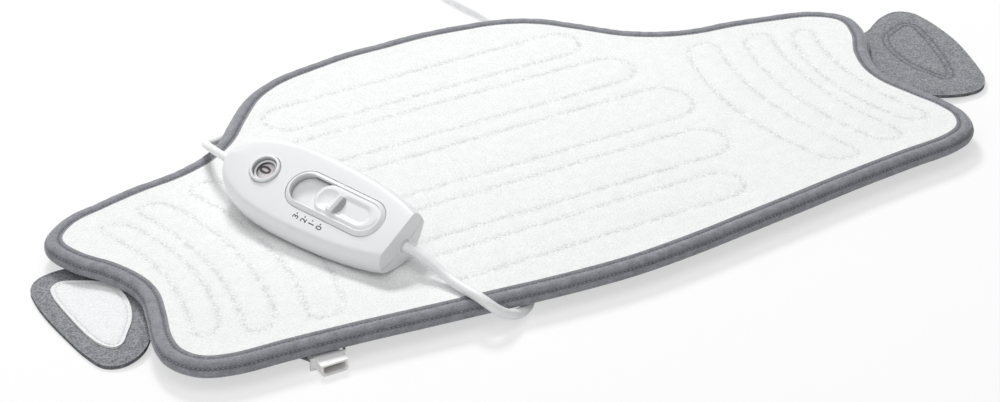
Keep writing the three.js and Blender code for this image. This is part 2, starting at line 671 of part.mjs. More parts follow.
// The channel that each lead's grip fills, through both shells on the parting line
function cordHoles() {
  const pad = cylinderAlongX(grip.padRadius + gap, -grip.inside - gap, overrun, 0, cordAxis, 14);
  const mains = cylinderAlongX(grip.mainsRadius + gap, -controllerLength - overrun,
    -controllerLength + grip.inside + gap, 0, cordAxis, 14);
  return pad.add(mains);
}
const keelDepth = (share) => (halfWidthAt(share) + controller.flare) * controller.keelSlope;
const hullFloor = (x, y) => {
  const depth = keelDepth(Math.min(1, Math.max(0, -x / controllerLength)));
  return -wallHeight - controller.lip - Math.max(0, depth - Math.abs(y) * controller.keelSlope);
};
const postShares = [[0.75, 0.42], [0.75, -0.42], [0.216, 0.44], [0.216, -0.44]];
const posts = postShares.map(([share, side]) => ({ x: along(share), y: across(side) }));
const post = { radius: 2 };
const pivot = { bossRadius: 3.1 };
function lowerShell() {
  const outer = shellSolid(lowerSection, 0, false);
  const inner = shellSolid(lowerSection, shellWall, false);
  const hollow = outer.subtract(inner.add(inner.translate([0, 0, shellWall])));
  const boardBottom = board.top - board.thickness;
  const standing = [
    ...posts.map(({ x, y }) =>
      cylinder(post.radius, hullFloor(x, y) + shellWall / 2, boardBottom - gap, x, y, 8)),
    cylinder(pivot.bossRadius, hullFloor(disc.x, 0) + shellWall / 2,
      disc.top - disc.thickness - pinion.thickness - gap, disc.x, 0, 12),
    cylinder(pinion.pinRadius, boardBottom, disc.top - disc.thickness, disc.x, 0, 12),
    ...screws.map(({ x, y }) =>
      cylinder(screw.bossRadius, hullFloor(x, y) + shellWall / 2, -wallHeight - gap / 2, x, y, 12)),
  ];
  const cuts = [
    ...screws.map(({ x, y }) =>
      cylinder(screw.radius + screw.holeSpare, hullFloor(x, y) - overrun, overrun, x, y, 10)),
    ...screws.map(({ x, y }) => cylinder(screw.headRadius + screw.holeSpare,
      hullFloor(x, y) - overrun, screwHeadTop(x, y) + gap, x, y, 12)),
    cordHoles(),
  ];
  return joined([hollow, ...standing]).subtract(joined(cuts));
}
// The screw heads lie sunk in the hull, on the seat above them
const screwHeadTop = (x, y) => hullFloor(x, y) + screw.headHeight + controller.edgeRadius;

const shellMaterial = finish(colours.whitePlastic, 0.3);
addPart(controllerGroup, 'upper_shell', upperShell(), shellMaterial);
addPart(controllerGroup, 'lower_shell', lowerShell(), shellMaterial);

screws.forEach(({ x, y }, i) => {
  const headTop = screwHeadTop(x, y);
  const shank = cylinder(screw.radius, headTop - screw.headHeight, -wallHeight + screw.reach - gap, x, y, 10);
  const head = cylinder(screw.headRadius, headTop - screw.headHeight, headTop, x, y, 12);
  addPart(controllerGroup, `housing_screw_${i + 1}`, shank.add(head), finish(colours.metal, 0.35, 0.9));
});

// Display window and the number disc beneath it
const lens = { thickness: 0.7 };
addPart(controllerGroup, 'display_lens',
  cylinder(display.seatRadius - gap, -display.openingDepth - gap - lens.thickness,
    -display.openingDepth - gap, display.x, 0, 20),
  finish(colours.clear, 0.1));
function toothedWheel() {
  const points = [];
  const corners = [
    [pinion.radius - teeth.dedendum, teeth.rootWidth], [pinion.radius + teeth.addendum, teeth.tipWidth],
  ];
  for (let i = 0; i < pinion.teeth; i += 1) {
    const middle = Math.PI / 2 + (2 * Math.PI * i) / pinion.teeth;
    const [[rootRadius, rootWidth], [tipRadius, tipWidth]] = corners;
    const angles = [
      [rootRadius, -rootWidth / 2], [tipRadius, -tipWidth / 2], [tipRadius, tipWidth / 2],
      [rootRadius, rootWidth / 2],
    ];
    angles.forEach(([radius, offset]) => {
      const angle = middle + offset / radius;
      points.push([disc.x + radius * Math.cos(angle), radius * Math.sin(angle)]);
    });
  }
  return points;
}
function numberDisc() {
  const bottom = disc.top - disc.thickness;
  const wheel = prism(toothedWheel(), bottom - pinion.thickness, bottom + gap);
  const plate = cylinder(disc.radius, bottom, disc.top, disc.x, 0, 32);
  const bore = cylinder(pinion.boreRadius, bottom - overrun, bottom + gap, disc.x, 0, 12);
  return plate.add(wheel).subtract(bore);
}
addPart(controllerGroup, 'number_disc', numberDisc(), finish(colours.whitePlastic, 0.4));

// Slide switch: knob in the slot, carriage with its rack below the slot's floor
const knob = {
  clearance: 0.25,
  top: 0.9,
  ribSetback: 20, // how far left of the slot's right centre each of its forms stands
  ribLength: 6,
  ribHeight: 3.6,
  ribHalfWidth: 6.2,
  ribTip: 1.6,
  hollowSetback: 28.6,
  hollowRadius: 14,
  hollowDepth: 1.4,
  scoopSetback: 5,
  scoopRadius: 17,
  scoopDepth: 2.2,
};
const knobRight = slot.rightCentre;
const ribX = knobRight - knob.ribSetback;
const knobLeft = slot.leftCentre + travel;
function sliderKnob() {
  const radius = slot.radius - knob.clearance;
  const plate = prism(obround(knobLeft, knobRight, radius), slot.floorTop + gap, knob.top);
  const hollow = (x, sphereRadius, depth) => {
    const ball = new THREE.SphereGeometry(sphereRadius, 20, 12);
    ball.translate(x, 0, knob.top - depth + sphereRadius);
    return solid(ball);
  };
  const rib = profileAlongY([
    [ribX - knob.ribLength, knob.top - knob.ribTip],
    [ribX + knob.ribTip, knob.top - knob.ribTip],
    [ribX + knob.ribTip, knob.top + knob.ribHeight],
    [ribX, knob.top + knob.ribHeight],
  ], -knob.ribHalfWidth, knob.ribHalfWidth);
  const stem = box(leg.x - leg.length / 2, leg.x + leg.length / 2, -leg.width / 2, leg.width / 2,
    slotBottom - gap - carriage.seat, slot.floorTop + 2 * gap);
  return plate
    .subtract(hollow(knobRight - knob.hollowSetback, knob.hollowRadius, knob.hollowDepth))
    .subtract(hollow(knobRight - knob.scoopSetback, knob.scoopRadius, knob.scoopDepth))
    .add(rib)
    .add(stem);
}
const carriage = { length: 17, width: 12, seat: 0.4, thickness: 1.8, screwRadius: 0.9,
  screwHead: 1.7, screwHeadHeight: 0.8 };
const carriageTop = slotBottom - gap - carriage.seat - gap;
function sliderCarriage() {
  const bottom = carriageTop - carriage.thickness;
  const plate = box(leg.x - carriage.length / 2, leg.x + carriage.length / 2,
    -carriage.width / 2, pinion.radius + teeth.dedendum + rack.backWidth, bottom, carriageTop);
  const start = disc.x - (rack.endMargin + teeth.pitch);
  const end = leg.x + carriage.length / 2;
  const pitchLine = pinion.radius;
  const points = [[end, pitchLine + teeth.dedendum], [end, pitchLine + teeth.dedendum + rack.backWidth],
    [start, pitchLine + teeth.dedendum + rack.backWidth], [start, pitchLine + teeth.dedendum]];
  const count = Math.floor((travel + rack.endMargin + 3 * teeth.pitch) / teeth.pitch);
  const first = disc.x - teeth.pitch / 2 - Math.floor(rack.endMargin / teeth.pitch) * teeth.pitch;
  for (let i = 0; i < count; i += 1) {
    const middle = first + i * teeth.pitch;
    points.push([middle - teeth.rootWidth / 2, pitchLine + teeth.dedendum]);
    points.push([middle - teeth.tipWidth / 2, pitchLine - teeth.addendum]);
    points.push([middle + teeth.tipWidth / 2, pitchLine - teeth.addendum]);
    points.push([middle + teeth.rootWidth / 2, pitchLine + teeth.dedendum]);
  }
  const bar = prism(points.reverse(), bottom - rack.thickness, bottom + gap);
  const hole = cylinder(carriage.screwRadius + gap, -overrun, overrun, leg.x, 0, 10);
  return plate.add(bar).subtract(hole);
}
addPart(controllerGroup, 'slider_knob', (() => {
  const hole = cylinder(carriage.screwRadius + gap / 2, -overrun, slot.floorTop, leg.x, 0, 10);
  return sliderKnob().subtract(hole);
})(), finish(colours.whitePlastic, 0.32));
addPart(controllerGroup, 'slider_carriage', sliderCarriage(), finish(colours.greyPlastic, 0.5));
addPart(controllerGroup, 'carriage_screw', (() => {
  const seat = carriageTop - carriage.thickness - gap;
  const shank = cylinder(carriage.screwRadius, seat - carriage.screwHeadHeight, slot.floorTop - gap,
    leg.x, 0, 10);
  const head = cylinder(carriage.screwHead, seat - carriage.screwHeadHeight, seat, leg.x, 0, 10);
  return shank.add(head);
})(), finish(colours.metal, 0.35, 0.9));
// Sprung contact that wipes along the control board
const wiper = { length: 9, width: 3, thickness: 0.5, y: -3.8 };
addPart(controllerGroup, 'contact_wiper', (() => {
  const top = carriageTop - carriage.thickness - gap;
  const low = board.top + gap;
  const x0 = leg.x - wiper.length / 2;
  const x1 = leg.x + wiper.length / 2;
  const t = wiper.thickness;
  return profileAlongY([
    [x0, top - t], [x0 + t, top - t], [leg.x - t, low], [leg.x + t, low], [x1 - t, top - t],
    [x1, top - t], [x1, top], [x1 - 2 * t, top], [leg.x + t / 2, low + t], [leg.x - t / 2, low + t],
    [x0 + 2 * t, top], [x0, top],
  ], wiper.y - wiper.width / 2, wiper.y + wiper.width / 2);
})(), finish(colours.brass, 0.3, 0.9));

// Control board and what stands on it
function controlBoard() {
  const { startShare, endShare, widthShare } = board;
  const shares = faceShares.map(([share]) => share)
    .filter((share) => share > startShare && share < endShare);
  const side = [startShare, ...shares, endShare]
    .map((share) => [along(share), halfWidthAt(share) * widthShare]);
  const points = [...side, ...[...side].reverse().map(([x, y]) => [x, -y])].reverse();
  const hole = cylinder(pivot.bossRadius + gap, -overrun, overrun, disc.x, 0, 14);
  return prism(points, board.top - board.thickness, board.top).subtract(hole);
}
addPart(controllerGroup, 'control_board', controlBoard(), finish(colours.board, 0.5));
const boardTop = board.top + gap;
const underBoard = board.top - board.thickness - gap;
const components = {
  acrossShare: 0.52, // the fuse and the triac stand this far out, on opposite sides
  led: { setback: 3, radius: 1.6, height: 2 },
  fuse: { x: along(placeShares.fuse), length: 15, radius: 1.8 },
  triac: { x: along(placeShares.triac), length: 10, width: 4, height: 3.4 },
  capacitor: { x: along(placeShares.capacitor), length: 15, width: 9, height: 6 },
};
const rowY = across(components.acrossShare);
addPart(controllerGroup, 'indicator_led',
  cylinder(components.led.radius, boardTop, boardTop + components.led.height,
    display.x - components.led.setback, 0, 10),
  finish(colours.red, 0.2));
addPart(controllerGroup, 'fuse', (() => {
  const { x, length, radius } = components.fuse;
  return cylinderAlongX(radius, x - length / 2, x + length / 2, rowY, boardTop + radius, 10);
})(), finish(colours.clear, 0.2));
addPart(controllerGroup, 'triac', (() => {
  const { x, length, width, height } = components.triac;
  return box(x - length / 2, x + length / 2, -rowY - width / 2, -rowY + width / 2,
    boardTop, boardTop + height);
})(), finish(colours.black, 0.6));
addPart(controllerGroup, 'suppression_capacitor', (() => {
  const { x, length, width, height } = components.capacitor;
  return box(x - length / 2, x + length / 2, -width / 2, width / 2, underBoard - height, underBoard);
})(), finish(colours.greyPlastic, 0.6));

// Grips that hold each lead where it leaves the shells
addPart(controllerGroup, 'pad_cord_grip', (() => {
  const sleeve = cylinderAlongX(grip.padRadius, -grip.inside, controller.endBulge + grip.padOutside,
    0, cordAxis, 14);
  const neck = cylinderAlongX(grip.padRadius - grip.collar, -grip.inside - grip.collarLength,
    -grip.inside + gap, 0, cordAxis, 14);
  return sleeve.add(neck);
})(), finish(colours.cord, 0.6));
addPart(controllerGroup, 'mains_cord_grip', (() => {
  const inner = -controllerLength + grip.inside;
  const tip = -controllerLength - grip.mainsOutside;
  return cylinderAlongX(grip.mainsTipRadius, tip, -controllerLength, 0, cordAxis, 14, grip.mainsRadius)
    .add(cylinderAlongX(grip.mainsRadius, -controllerLength - gap, inner, 0, cordAxis, 14));
})(), finish(colours.cord, 0.6));

// The controller lies on the fleece, on the lowest point of its underside
const controllerPose = new THREE.Euler(
  THREE.MathUtils.degToRad(controllerRoll),
  THREE.MathUtils.degToRad(controllerPitch),
  THREE.MathUtils.degToRad(controllerYaw),
  'ZYX',
);
const lowestPoint = Math.min(...faceShares.flatMap(([share]) => lowerSection(share, 0)
  .map(([y, z]) => new THREE.Vector3(along(share), -y, z).applyEuler(controllerPose).z)));
const controllerPlace = { x: -128.3, y: -97.6 };
controllerGroup.position.set(controllerPlace.x, controllerPlace.y, fleeceTop + gap - lowestPoint);
controllerGroup.rotation.copy(controllerPose);
controllerGroup.updateMatrix();
const fromController = (x) => new THREE.Vector3(x, 0, cordAxis).applyMatrix4(controllerGroup.matrix);

// Pad lead: out of the wide end, over the near edge and back under the pad to its coupling plug
const cordLift = 0.15; // keeps the cords' undersides just clear of the surface
const onFloor = (diameter) => diameter / 2 + cordLift;
const padFloor = onFloor(padCordDiameter);
const padRoute = [
  [-117.6, -110.2, 29], [-113.9, -119.3, 25.6], [-111.2, -128.3, 22.6], [-109.1, -137.5, 21.3],
  [-107.2, -147, 21.4], [-105.2, -155.5, 21.5], [-102, -162.6, 19.2], [-97.2, -166.4, 15],
  [-91, -167.2, 10.8], [-84, -165.2, 7.3], [-76.5, -160.8, 4.6], [-69, -154.6, padFloor],
  [-63.2, -146.5, padFloor], [-60.4, -136.5, padFloor], [-62.4, -126.5, padFloor],
  [-70, -117.5, padFloor], [-83, -111.3, padFloor], [-100, -109.5, padFloor],
  [-118, -110.5, padFloor], [-136, -112, padFloor],
];
const coupling = { x: -150, y: -112.4, reliefLength: 12, reliefTip: 3.5, bodyLength: 24, bodyWidth: 17,
  noseLength: 9, noseShrink: 0.35, height: padClearance - 2 * gap };
const cordLead = 4; // each lead leaves its grip straight
const padStart = fromController(controller.endBulge + grip.padOutside + gap);
const padLead = fromController(controller.endBulge + grip.padOutside + gap + cordLead);
const padEnd = new THREE.Vector3(coupling.x, coupling.y, padFloor);
const padCord = cordTube(
  [padStart, padLead, ...padRoute.map((p) => new THREE.Vector3(...p)), padEnd], padCordDiameter, 10, 28);
addPart(padGroup, 'pad_cord', padCord.geometry, finish(colours.cord, 0.5));

// The coupling plug lies flat under the pad: tapered relief, body and a nose that fits the socket
addPart(padGroup, 'coupling_relief',
  cylinderAlongX(coupling.reliefTip, coupling.x - gap - coupling.reliefLength,
    coupling.x - gap, coupling.y, padFloor + gap, 12, padCordDiameter / 2),
  finish(colours.cord, 0.5));
addPart(padGroup, 'coupling_plug', (() => {
  const right = coupling.x - 2 * gap - coupling.reliefLength;
  const left = right - coupling.bodyLength;
  const half = coupling.bodyWidth / 2;
  const body = box(left, right, coupling.y - half, coupling.y + half, gap / 2, coupling.height);
  const noseHalf = mouth.halfWidth - coupling.noseShrink;
  const nose = box(left - coupling.noseLength, left + gap, coupling.y - noseHalf, coupling.y + noseHalf,
    mouth.bottom + coupling.noseShrink, mouth.top - coupling.noseShrink);
  return body.add(nose);
})(), finish(colours.whitePlastic, 0.35));

// Mains lead: out of the narrow end, over the far edge, under the pad and out past the crown
const coil = {
  x: 130,
  y: 272,
  middleRadius: 32.4,
  turns: 8.25,
  spare: 0.5, // between neighbouring turns
  steps: 24,
  sides: 6,
  lift: 0.9, // the tie passes under the lowest turns
  tailReach: 49, // from the coil's middle to the plug's relief
  tailFall: 2.5, // how far in from the coil's outside the plug lies
};
const turnPitch = mainsCordDiameter + coil.spare;
const coilOuter = coil.middleRadius + (turnPitch * coil.turns) / 4;
const coilLow = onFloor(mainsCordDiameter) + coil.lift;
const mainsFloor = onFloor(mainsCordDiameter);
const mainsRoute = [
  [-176.4, 47.5, 37.9], [-176.2, 56.5, 36.1], [-175.2, 65.5, 33.5], [-173.4, 74.5, 30.1],
  [-170.6, 83.3, 26], [-167, 91.6, 21.4], [-162.6, 99.3, 16.6], [-157.5, 106.6, 11.9],
  [-151.8, 113.4, 7.7], [-145.4, 119.4, 4.4], [-138, 123.6, mainsFloor], [-129, 125, mainsFloor],
  [-116, 122, mainsFloor], [-96, 116.4, mainsFloor], [-60, 115, mainsFloor], [-20, 118, mainsFloor],
  [20, 124, mainsFloor], [52, 130, mainsFloor], [75, 139, mainsFloor], [89, 153, mainsFloor],
  [95, 171, mainsFloor], [94.4, 190, mainsFloor], [90, 209, 3.05],
  [86.6, 228, 3.35], [coil.x - coilOuter, 245, coilLow],
];
const mainsStart = fromController(-controllerLength - grip.mainsOutside - gap);
const mainsLead = fromController(-controllerLength - grip.mainsOutside - gap - cordLead);
const coilStart = new THREE.Vector3(coil.x - coilOuter, coil.y, coilLow);
const mainsEnd = coilStart.clone().add(new THREE.Vector3(0, -mainsCordDiameter - gap, 0));
const mainsCord = cordTube(
  [mainsStart, mainsLead, ...mainsRoute.map((p) => new THREE.Vector3(...p)), mainsEnd], mainsCordDiameter, 8, 42);
addPart(padGroup, 'mains_cord', mainsCord.geometry, finish(colours.cord, 0.5));

// Coil of the stored length: it spirals in below, climbs in the half turn where it reverses, and
// spirals out above
function coilLine() {
  const total = coil.turns * 2 * Math.PI;
  const middle = total / 2;
  const count = Math.round(coil.turns * coil.steps);
  const layerHeight = mainsCordDiameter + coil.spare;
  const points = [coilStart.clone().add(new THREE.Vector3(0, -mainsCordDiameter, 0))];
  for (let i = 0; i <= count; i += 1) {
    const angle = (total * i) / count;
    const radius = coilOuter - (turnPitch * Math.min(angle, total - angle)) / (2 * Math.PI);
    const climb = THREE.MathUtils.smoothstep(angle, middle - Math.PI / 2, middle + Math.PI / 2);
    points.push(new THREE.Vector3(
      coil.x - radius * Math.cos(angle),
      coil.y + radius * Math.sin(angle),
      coilLow + layerHeight * climb,
    ));
  }
  const last = points[points.length - 1];
  points.push(last.clone().add(new THREE.Vector3(mainsCordDiameter, 0, 0)));
  return points;
}
const coilPoints = coilLine();
addPart(padGroup, 'mains_coil', tube(coilPoints, mainsCordDiameter / 2, coil.sides),
  finish(colours.cord, 0.5));
// The least gap of the coil to itself, and its length, on its own points
const lineLength = (points) => points.slice(1).reduce((sum, p, i) => sum + p.distanceTo(points[i]), 0);
function leastGap(points, diameter, skip) {
  let least = Infinity;
  for (let i = 0; i < points.length; i += 1) {
    for (let j = i + skip; j < points.length - 1; j += 1) {
      const segment = new THREE.Line3(points[j], points[j + 1]);
      const near = segment.closestPointToPoint(points[i], true, new THREE.Vector3());
      least = Math.min(least, near.distanceTo(points[i]));
    }
  }
  return least - diameter;
}
console.log('mains coil least gap', leastGap(coilPoints, mainsCordDiameter, coil.steps / 2).toFixed(2),
  'mm, length', lineLength(coilPoints).toFixed(0), 'mm');

// Tail from the coil down to the plug
const plug = {
  y: coil.y + coilOuter - coil.tailFall,
  x: coil.x + coil.tailReach,
  height: 13.7,
  reliefLength: 27,
  reliefRadius: 5,
  bodyLength: 36,
  rearWidth: 15,
  frontWidth: 35.3,
  edge: 2.2,
  pinSpread: 18.6,
  pinDiameter: 4,
  pinLength: 19,
};
const plugAxis = plug.height / 2 + gap / 2;
const coilEnd = coilPoints[coilPoints.length - 1];
const tailStart = coilEnd.clone().add(new THREE.Vector3(gap, 0, 0));
const tailEnd = new THREE.Vector3(plug.x, plug.y, plugAxis);
const tailLead = 12; // each end of the tail leaves straight
const mainsTail = cordTube([
  tailStart,
  tailStart.clone().add(new THREE.Vector3(tailLead, 0, 0)),
  tailEnd.clone().add(new THREE.Vector3(-tailLead, 0, 0)),
  tailEnd,
], mainsCordDiameter, 8, 5);
addPart(padGroup, 'mains_tail', mainsTail.geometry, finish(colours.cord, 0.5));

// Tie round the coil, on the side away from the pad
const tie = { width: 9, thickness: 0.7, spare: 0.35 };
addPart(padGroup, 'coil_tie', (() => {
  const inner = coilOuter - (turnPitch * coil.turns) / 2 - mainsCordDiameter / 2 - tie.spare;
  const outer = coilOuter + mainsCordDiameter / 2 + tie.spare;
  const low = coilLow - mainsCordDiameter / 2 - tie.spare / 2;
  const high = coilLow + turnPitch + mainsCordDiameter / 2 + tie.spare;
  const t = tie.thickness;
  const frame = profileAlongY([
    [coil.x + inner - t, low - t], [coil.x + outer + t, low - t],
    [coil.x + outer + t, high + t], [coil.x + inner - t, high + t],
  ], coil.y - tie.width / 2, coil.y + tie.width / 2);
  return frame.subtract(box(coil.x + inner, coil.x + outer, coil.y - tie.width, coil.y + tie.width,
    low, high));
})(), finish(colours.black, 0.7));

// Mains plug: flat two-pin body lying on the surface
addPart(padGroup, 'plug_relief', (() => {
  const x0 = plug.x + gap;
  return cylinderAlongX(mainsCordDiameter / 2 + gap, x0, x0 + plug.reliefLength, plug.y, plugAxis, 12,
    plug.reliefRadius);
})(), finish(colours.cord, 0.5));
const plugRear = plug.x + 2 * gap + plug.reliefLength;
addPart(padGroup, 'plug_body', (() => {
  // half outline from the rear to the pin face, as shares of the body's length and front width
  const plugShares = [[0, 0.42], [0.12, 0.5], [0.62, 0.72], [0.86, 0.97], [1, 1]];
  const side = plugShares.map(([along, across]) =>
    [plugRear + plug.edge + along * (plug.bodyLength - 2 * plug.edge),
      across * (plug.frontWidth / 2 - plug.edge)]);
  const points = [...side, ...[...side].reverse().map(([x, y]) => [x, -y])]
    .map(([x, y]) => [x, plug.y + y]).reverse();
  const geometry = new THREE.ExtrudeGeometry(shapeOf(points), {
    depth: plug.height - 2 * plug.edge,
    bevelEnabled: true,
    bevelThickness: plug.edge,
    bevelSize: plug.edge,
    bevelSegments: 2,
  });
  geometry.translate(0, 0, gap / 2 + plug.edge);
  return solid(geometry);
})(), finish(colours.cord, 0.4));
for (const [i, side] of [[1, -1], [2, 1]]) {
  const x0 = plugRear + plug.bodyLength + gap;
  addPart(padGroup, `plug_pin_${i}`,
    cylinderAlongX(plug.pinDiameter / 2, x0, x0 + plug.pinLength,
      plug.y + (side * plug.pinSpread) / 2, plugAxis, 12),
    finish(colours.metal, 0.3, 0.9));
}

// The origin stands under the middle of the pad, its tabs, socket and controller
const cordNodes = ['pad_cord', 'coupling_relief', 'coupling_plug', 'mains_cord', 'mains_coil',
  'mains_tail', 'coil_tie', 'plug_relief', 'plug_body', 'plug_pin_1', 'plug_pin_2'];
part.updateMatrixWorld(true);
const bounds = new THREE.Box3();
part.traverse((node) => {
  if (node.isMesh && !cordNodes.includes(node.name)) bounds.expandByObject(node, true);
});
const origin = bounds.getCenter(new THREE.Vector3());
padGroup.position.set(-origin.x, -origin.y, 0);
part.updateMatrixWorld(true);

console.log('pad lead', padCord.length.toFixed(0), 'mm, mains lead',
  (mainsCord.length + lineLength(coilPoints) + mainsTail.length).toFixed(0), 'mm');

export default part;
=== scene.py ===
# A shaped heating pad of white fleece with its hand controller and its two leads, in metres.
import json
import math
import time

import bmesh
import bpy
import numpy as np
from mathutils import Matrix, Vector
from mathutils.geometry import delaunay_2d_cdt


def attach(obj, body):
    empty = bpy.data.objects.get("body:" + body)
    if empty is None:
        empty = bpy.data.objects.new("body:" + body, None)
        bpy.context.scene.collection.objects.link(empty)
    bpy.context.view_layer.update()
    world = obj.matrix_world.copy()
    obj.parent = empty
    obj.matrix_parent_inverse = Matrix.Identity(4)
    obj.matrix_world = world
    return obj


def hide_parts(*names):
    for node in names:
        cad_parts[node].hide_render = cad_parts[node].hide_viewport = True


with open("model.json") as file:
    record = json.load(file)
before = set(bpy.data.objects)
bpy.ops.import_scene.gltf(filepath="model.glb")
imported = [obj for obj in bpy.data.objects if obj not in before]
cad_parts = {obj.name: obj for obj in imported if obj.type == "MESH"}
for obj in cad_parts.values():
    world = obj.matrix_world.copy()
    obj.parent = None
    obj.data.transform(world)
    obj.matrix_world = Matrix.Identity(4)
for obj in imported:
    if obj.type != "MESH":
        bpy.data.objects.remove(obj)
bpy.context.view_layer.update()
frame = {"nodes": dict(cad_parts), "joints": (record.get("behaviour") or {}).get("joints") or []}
started = time.time()
mm = 0.001

# Sizes repeated from the CAD source, in millimetres
fleeceLength = 588
fleeceDepth = 311.2
padBack = 8
fleeceBottom = padBack + 6.5
fleeceTop = padBack + 9.2
bindingWidth = 13
controllerLength = 138.6
controllerHalfWidth = 26.4
wallHeight = 11.5
hullLip = 2.5
shellWall = 2.2
cordDiameters = {"pad": 6.5, "mains": 5.4}
# Where the middle of the fleece stands in the frame
padPlace = np.array([-17.897, 0.481])


# The controller's own millimetres: x = 0 at its wide end, z = 0 on its face
joints = {joint["name"]: joint for joint in frame["joints"]}
endwards = -np.array(joints["slider_slide"]["axis"])
upwards = np.array(joints["number_disc_spin"]["axis"])
sideways = np.cross(upwards, endwards)
window = {"x": -0.777 * controllerLength, "ringRadius": 9.9, "ringTop": 2.5, "ledgeRadius": 8.1,
          "ledge": -0.6, "openingRadius": 6.2}
slot = {"left": -0.527 * controllerLength, "right": -0.188 * controllerLength, "radius": 10.7,
        "floor": -3.2, "floorThickness": 2}
travel = 19.2
discRoom = slot["left"] - slot["radius"] - 1.5 - window["x"]
disc = {"x": window["x"] + 0.29 * discRoom, "top": -2.7}
ownOrigin = (np.array(joints["number_disc_spin"]["pos_m"]) / mm
             - disc["x"] * endwards - disc["top"] * upwards)
ownAxes = np.stack([endwards, sideways, upwards])


# Controller millimetres to frame metres: origin + x * endwards + y * sideways + z * upwards
def fromController(points):
    return (np.asarray(points, float) @ ownAxes + ownOrigin) * mm


# Two points by which a lead leaves its grip straight, in the pad's own millimetres
def leadStart(*distances):
    points = np.array([(x, 0, -wallHeight) for x in distances], float) @ ownAxes + ownOrigin
    points[:, :2] -= padPlace
    return [tuple(point) for point in points]


# Prints a stage with the seconds since the start
def report(stage):
    print(f"stage: {stage} at {time.time() - started:.1f} s")


# Camera: where the photograph was taken from, in the frame

cameraPlace = (-0.90578, -1.54118, 1.03830)
cameraTurn = (59.155, 0, -29.94)
cameraLens = 113.64


# A new object in the scene
def linked(name, data):
    obj = bpy.data.objects.new(name, data)
    bpy.context.scene.collection.objects.link(obj)
    return obj


camera = linked("camera", bpy.data.cameras.new("camera"))
camera.data.lens = cameraLens
camera.data.sensor_width = 36
camera.data.clip_end = 20
camera.location = cameraPlace
camera.rotation_euler = [math.radians(angle) for angle in cameraTurn]
bpy.context.scene.camera = camera


# Curves and meshes

# Catmull-Rom curve with centripetal knots: each span is a cubic whose end slopes come from the
# divided differences of the four points round it
def smoothCurve(points, steps, closed=False):
    given = np.asarray(points, float)
    if closed:
        before, start, end, after = (np.roll(given, shift, axis=0) for shift in (1, 0, -1, -2))
    else:
        padded = np.vstack([2 * given[0] - given[1], given, 2 * given[-1] - given[-2]])
        before, start, end, after = padded[:-3], padded[1:-2], padded[2:-1], padded[3:]

    def knot(a, b):
        return np.sqrt(np.linalg.norm(b - a, axis=1))[:, None]

    k0, k1, k2 = knot(before, start), knot(start, end), knot(end, after)
    slope0 = ((start - before) / k0 - (end - before) / (k0 + k1) + (end - start) / k1) * k1
    slope1 = ((end - start) / k1 - (after - start) / (k1 + k2) + (after - end) / k2) * k1
    u = (np.arange(steps) / steps)[None, :, None]
    square = -3 * start + 3 * end - 2 * slope0 - slope1
    cube = 2 * start - 2 * end + slope0 + slope1
    spans = start[:, None] + slope0[:, None] * u + square[:, None] * u**2 + cube[:, None] * u**3
    line = spans.reshape(-1, given.shape[1])
    return line if closed else np.vstack([line, given[-1]])


# Running length at each point: the sum of the steps before it
def lengthAlong(line, closed=False):
    steps = np.diff(np.vstack([line, line[:1]]) if closed else line, axis=0)
    return np.concatenate([[0], np.cumsum(np.linalg.norm(steps, axis=1))])


# The same line with points at equal distances
def resampled(line, spacing, closed=False):
    whole = np.vstack([line, line[:1]]) if closed else line
    run = lengthAlong(whole)
    count = max(8, int(round(run[-1] / spacing)))
    at = np.linspace(0, run[-1], count + 1)
    even = np.stack([np.interp(at, run, whole[:, i]) for i in range(whole.shape[1])], axis=1)
    return even[:-1] if closed else even


# Unit normals to the left of a closed line, from the chord between each point's neighbours
def leftNormals(line):
    chord = np.roll(line, -1, axis=0) - np.roll(line, 1, axis=0)
    chord /= np.linalg.norm(chord, axis=1)[:, None]
    return np.stack([-chord[:, 1], chord[:, 0]], axis=1)


# Distance to the nearest span of a line: each point less its foot on the span, with the foot's
# share of the span kept between 0 and 1
def segmentDistance(points, line, closed=False, chunk=1500):
    ends = np.roll(line, -1, axis=0) if closed else line[1:]
    starts = line if closed else line[:-1]
    span = ends - starts
    size = (span**2).sum(1)
    nearest = np.empty(len(points))
    for first in range(0, len(points), chunk):
        part = points[first : first + chunk, None, :]
        share = np.clip(((part - starts) * span).sum(2) / size, 0, 1)
        away = part - (starts + share[..., None] * span)
        nearest[first : first + chunk] = np.sqrt((away**2).sum(2).min(1))
    return nearest


# A point is inside where a ray along +x crosses the outline an odd number of times
def insideOf(points, line, chunk=2000):
    ends = np.roll(line, -1, axis=0)
    inside = np.empty(len(points), bool)
    rise = np.where(ends[:, 1] == line[:, 1], 1e-12, ends[:, 1] - line[:, 1])
    for first in range(0, len(points), chunk):
        part = points[first : first + chunk]
        y = part[:, 1:2]
        crosses = (line[:, 1] > y) != (ends[:, 1] > y)
        at = line[:, 0] + (y - line[:, 1]) * (ends[:, 0] - line[:, 0]) / rise
        inside[first : first + chunk] = (crosses & (at > part[:, :1])).sum(1) % 2 == 1
    return inside


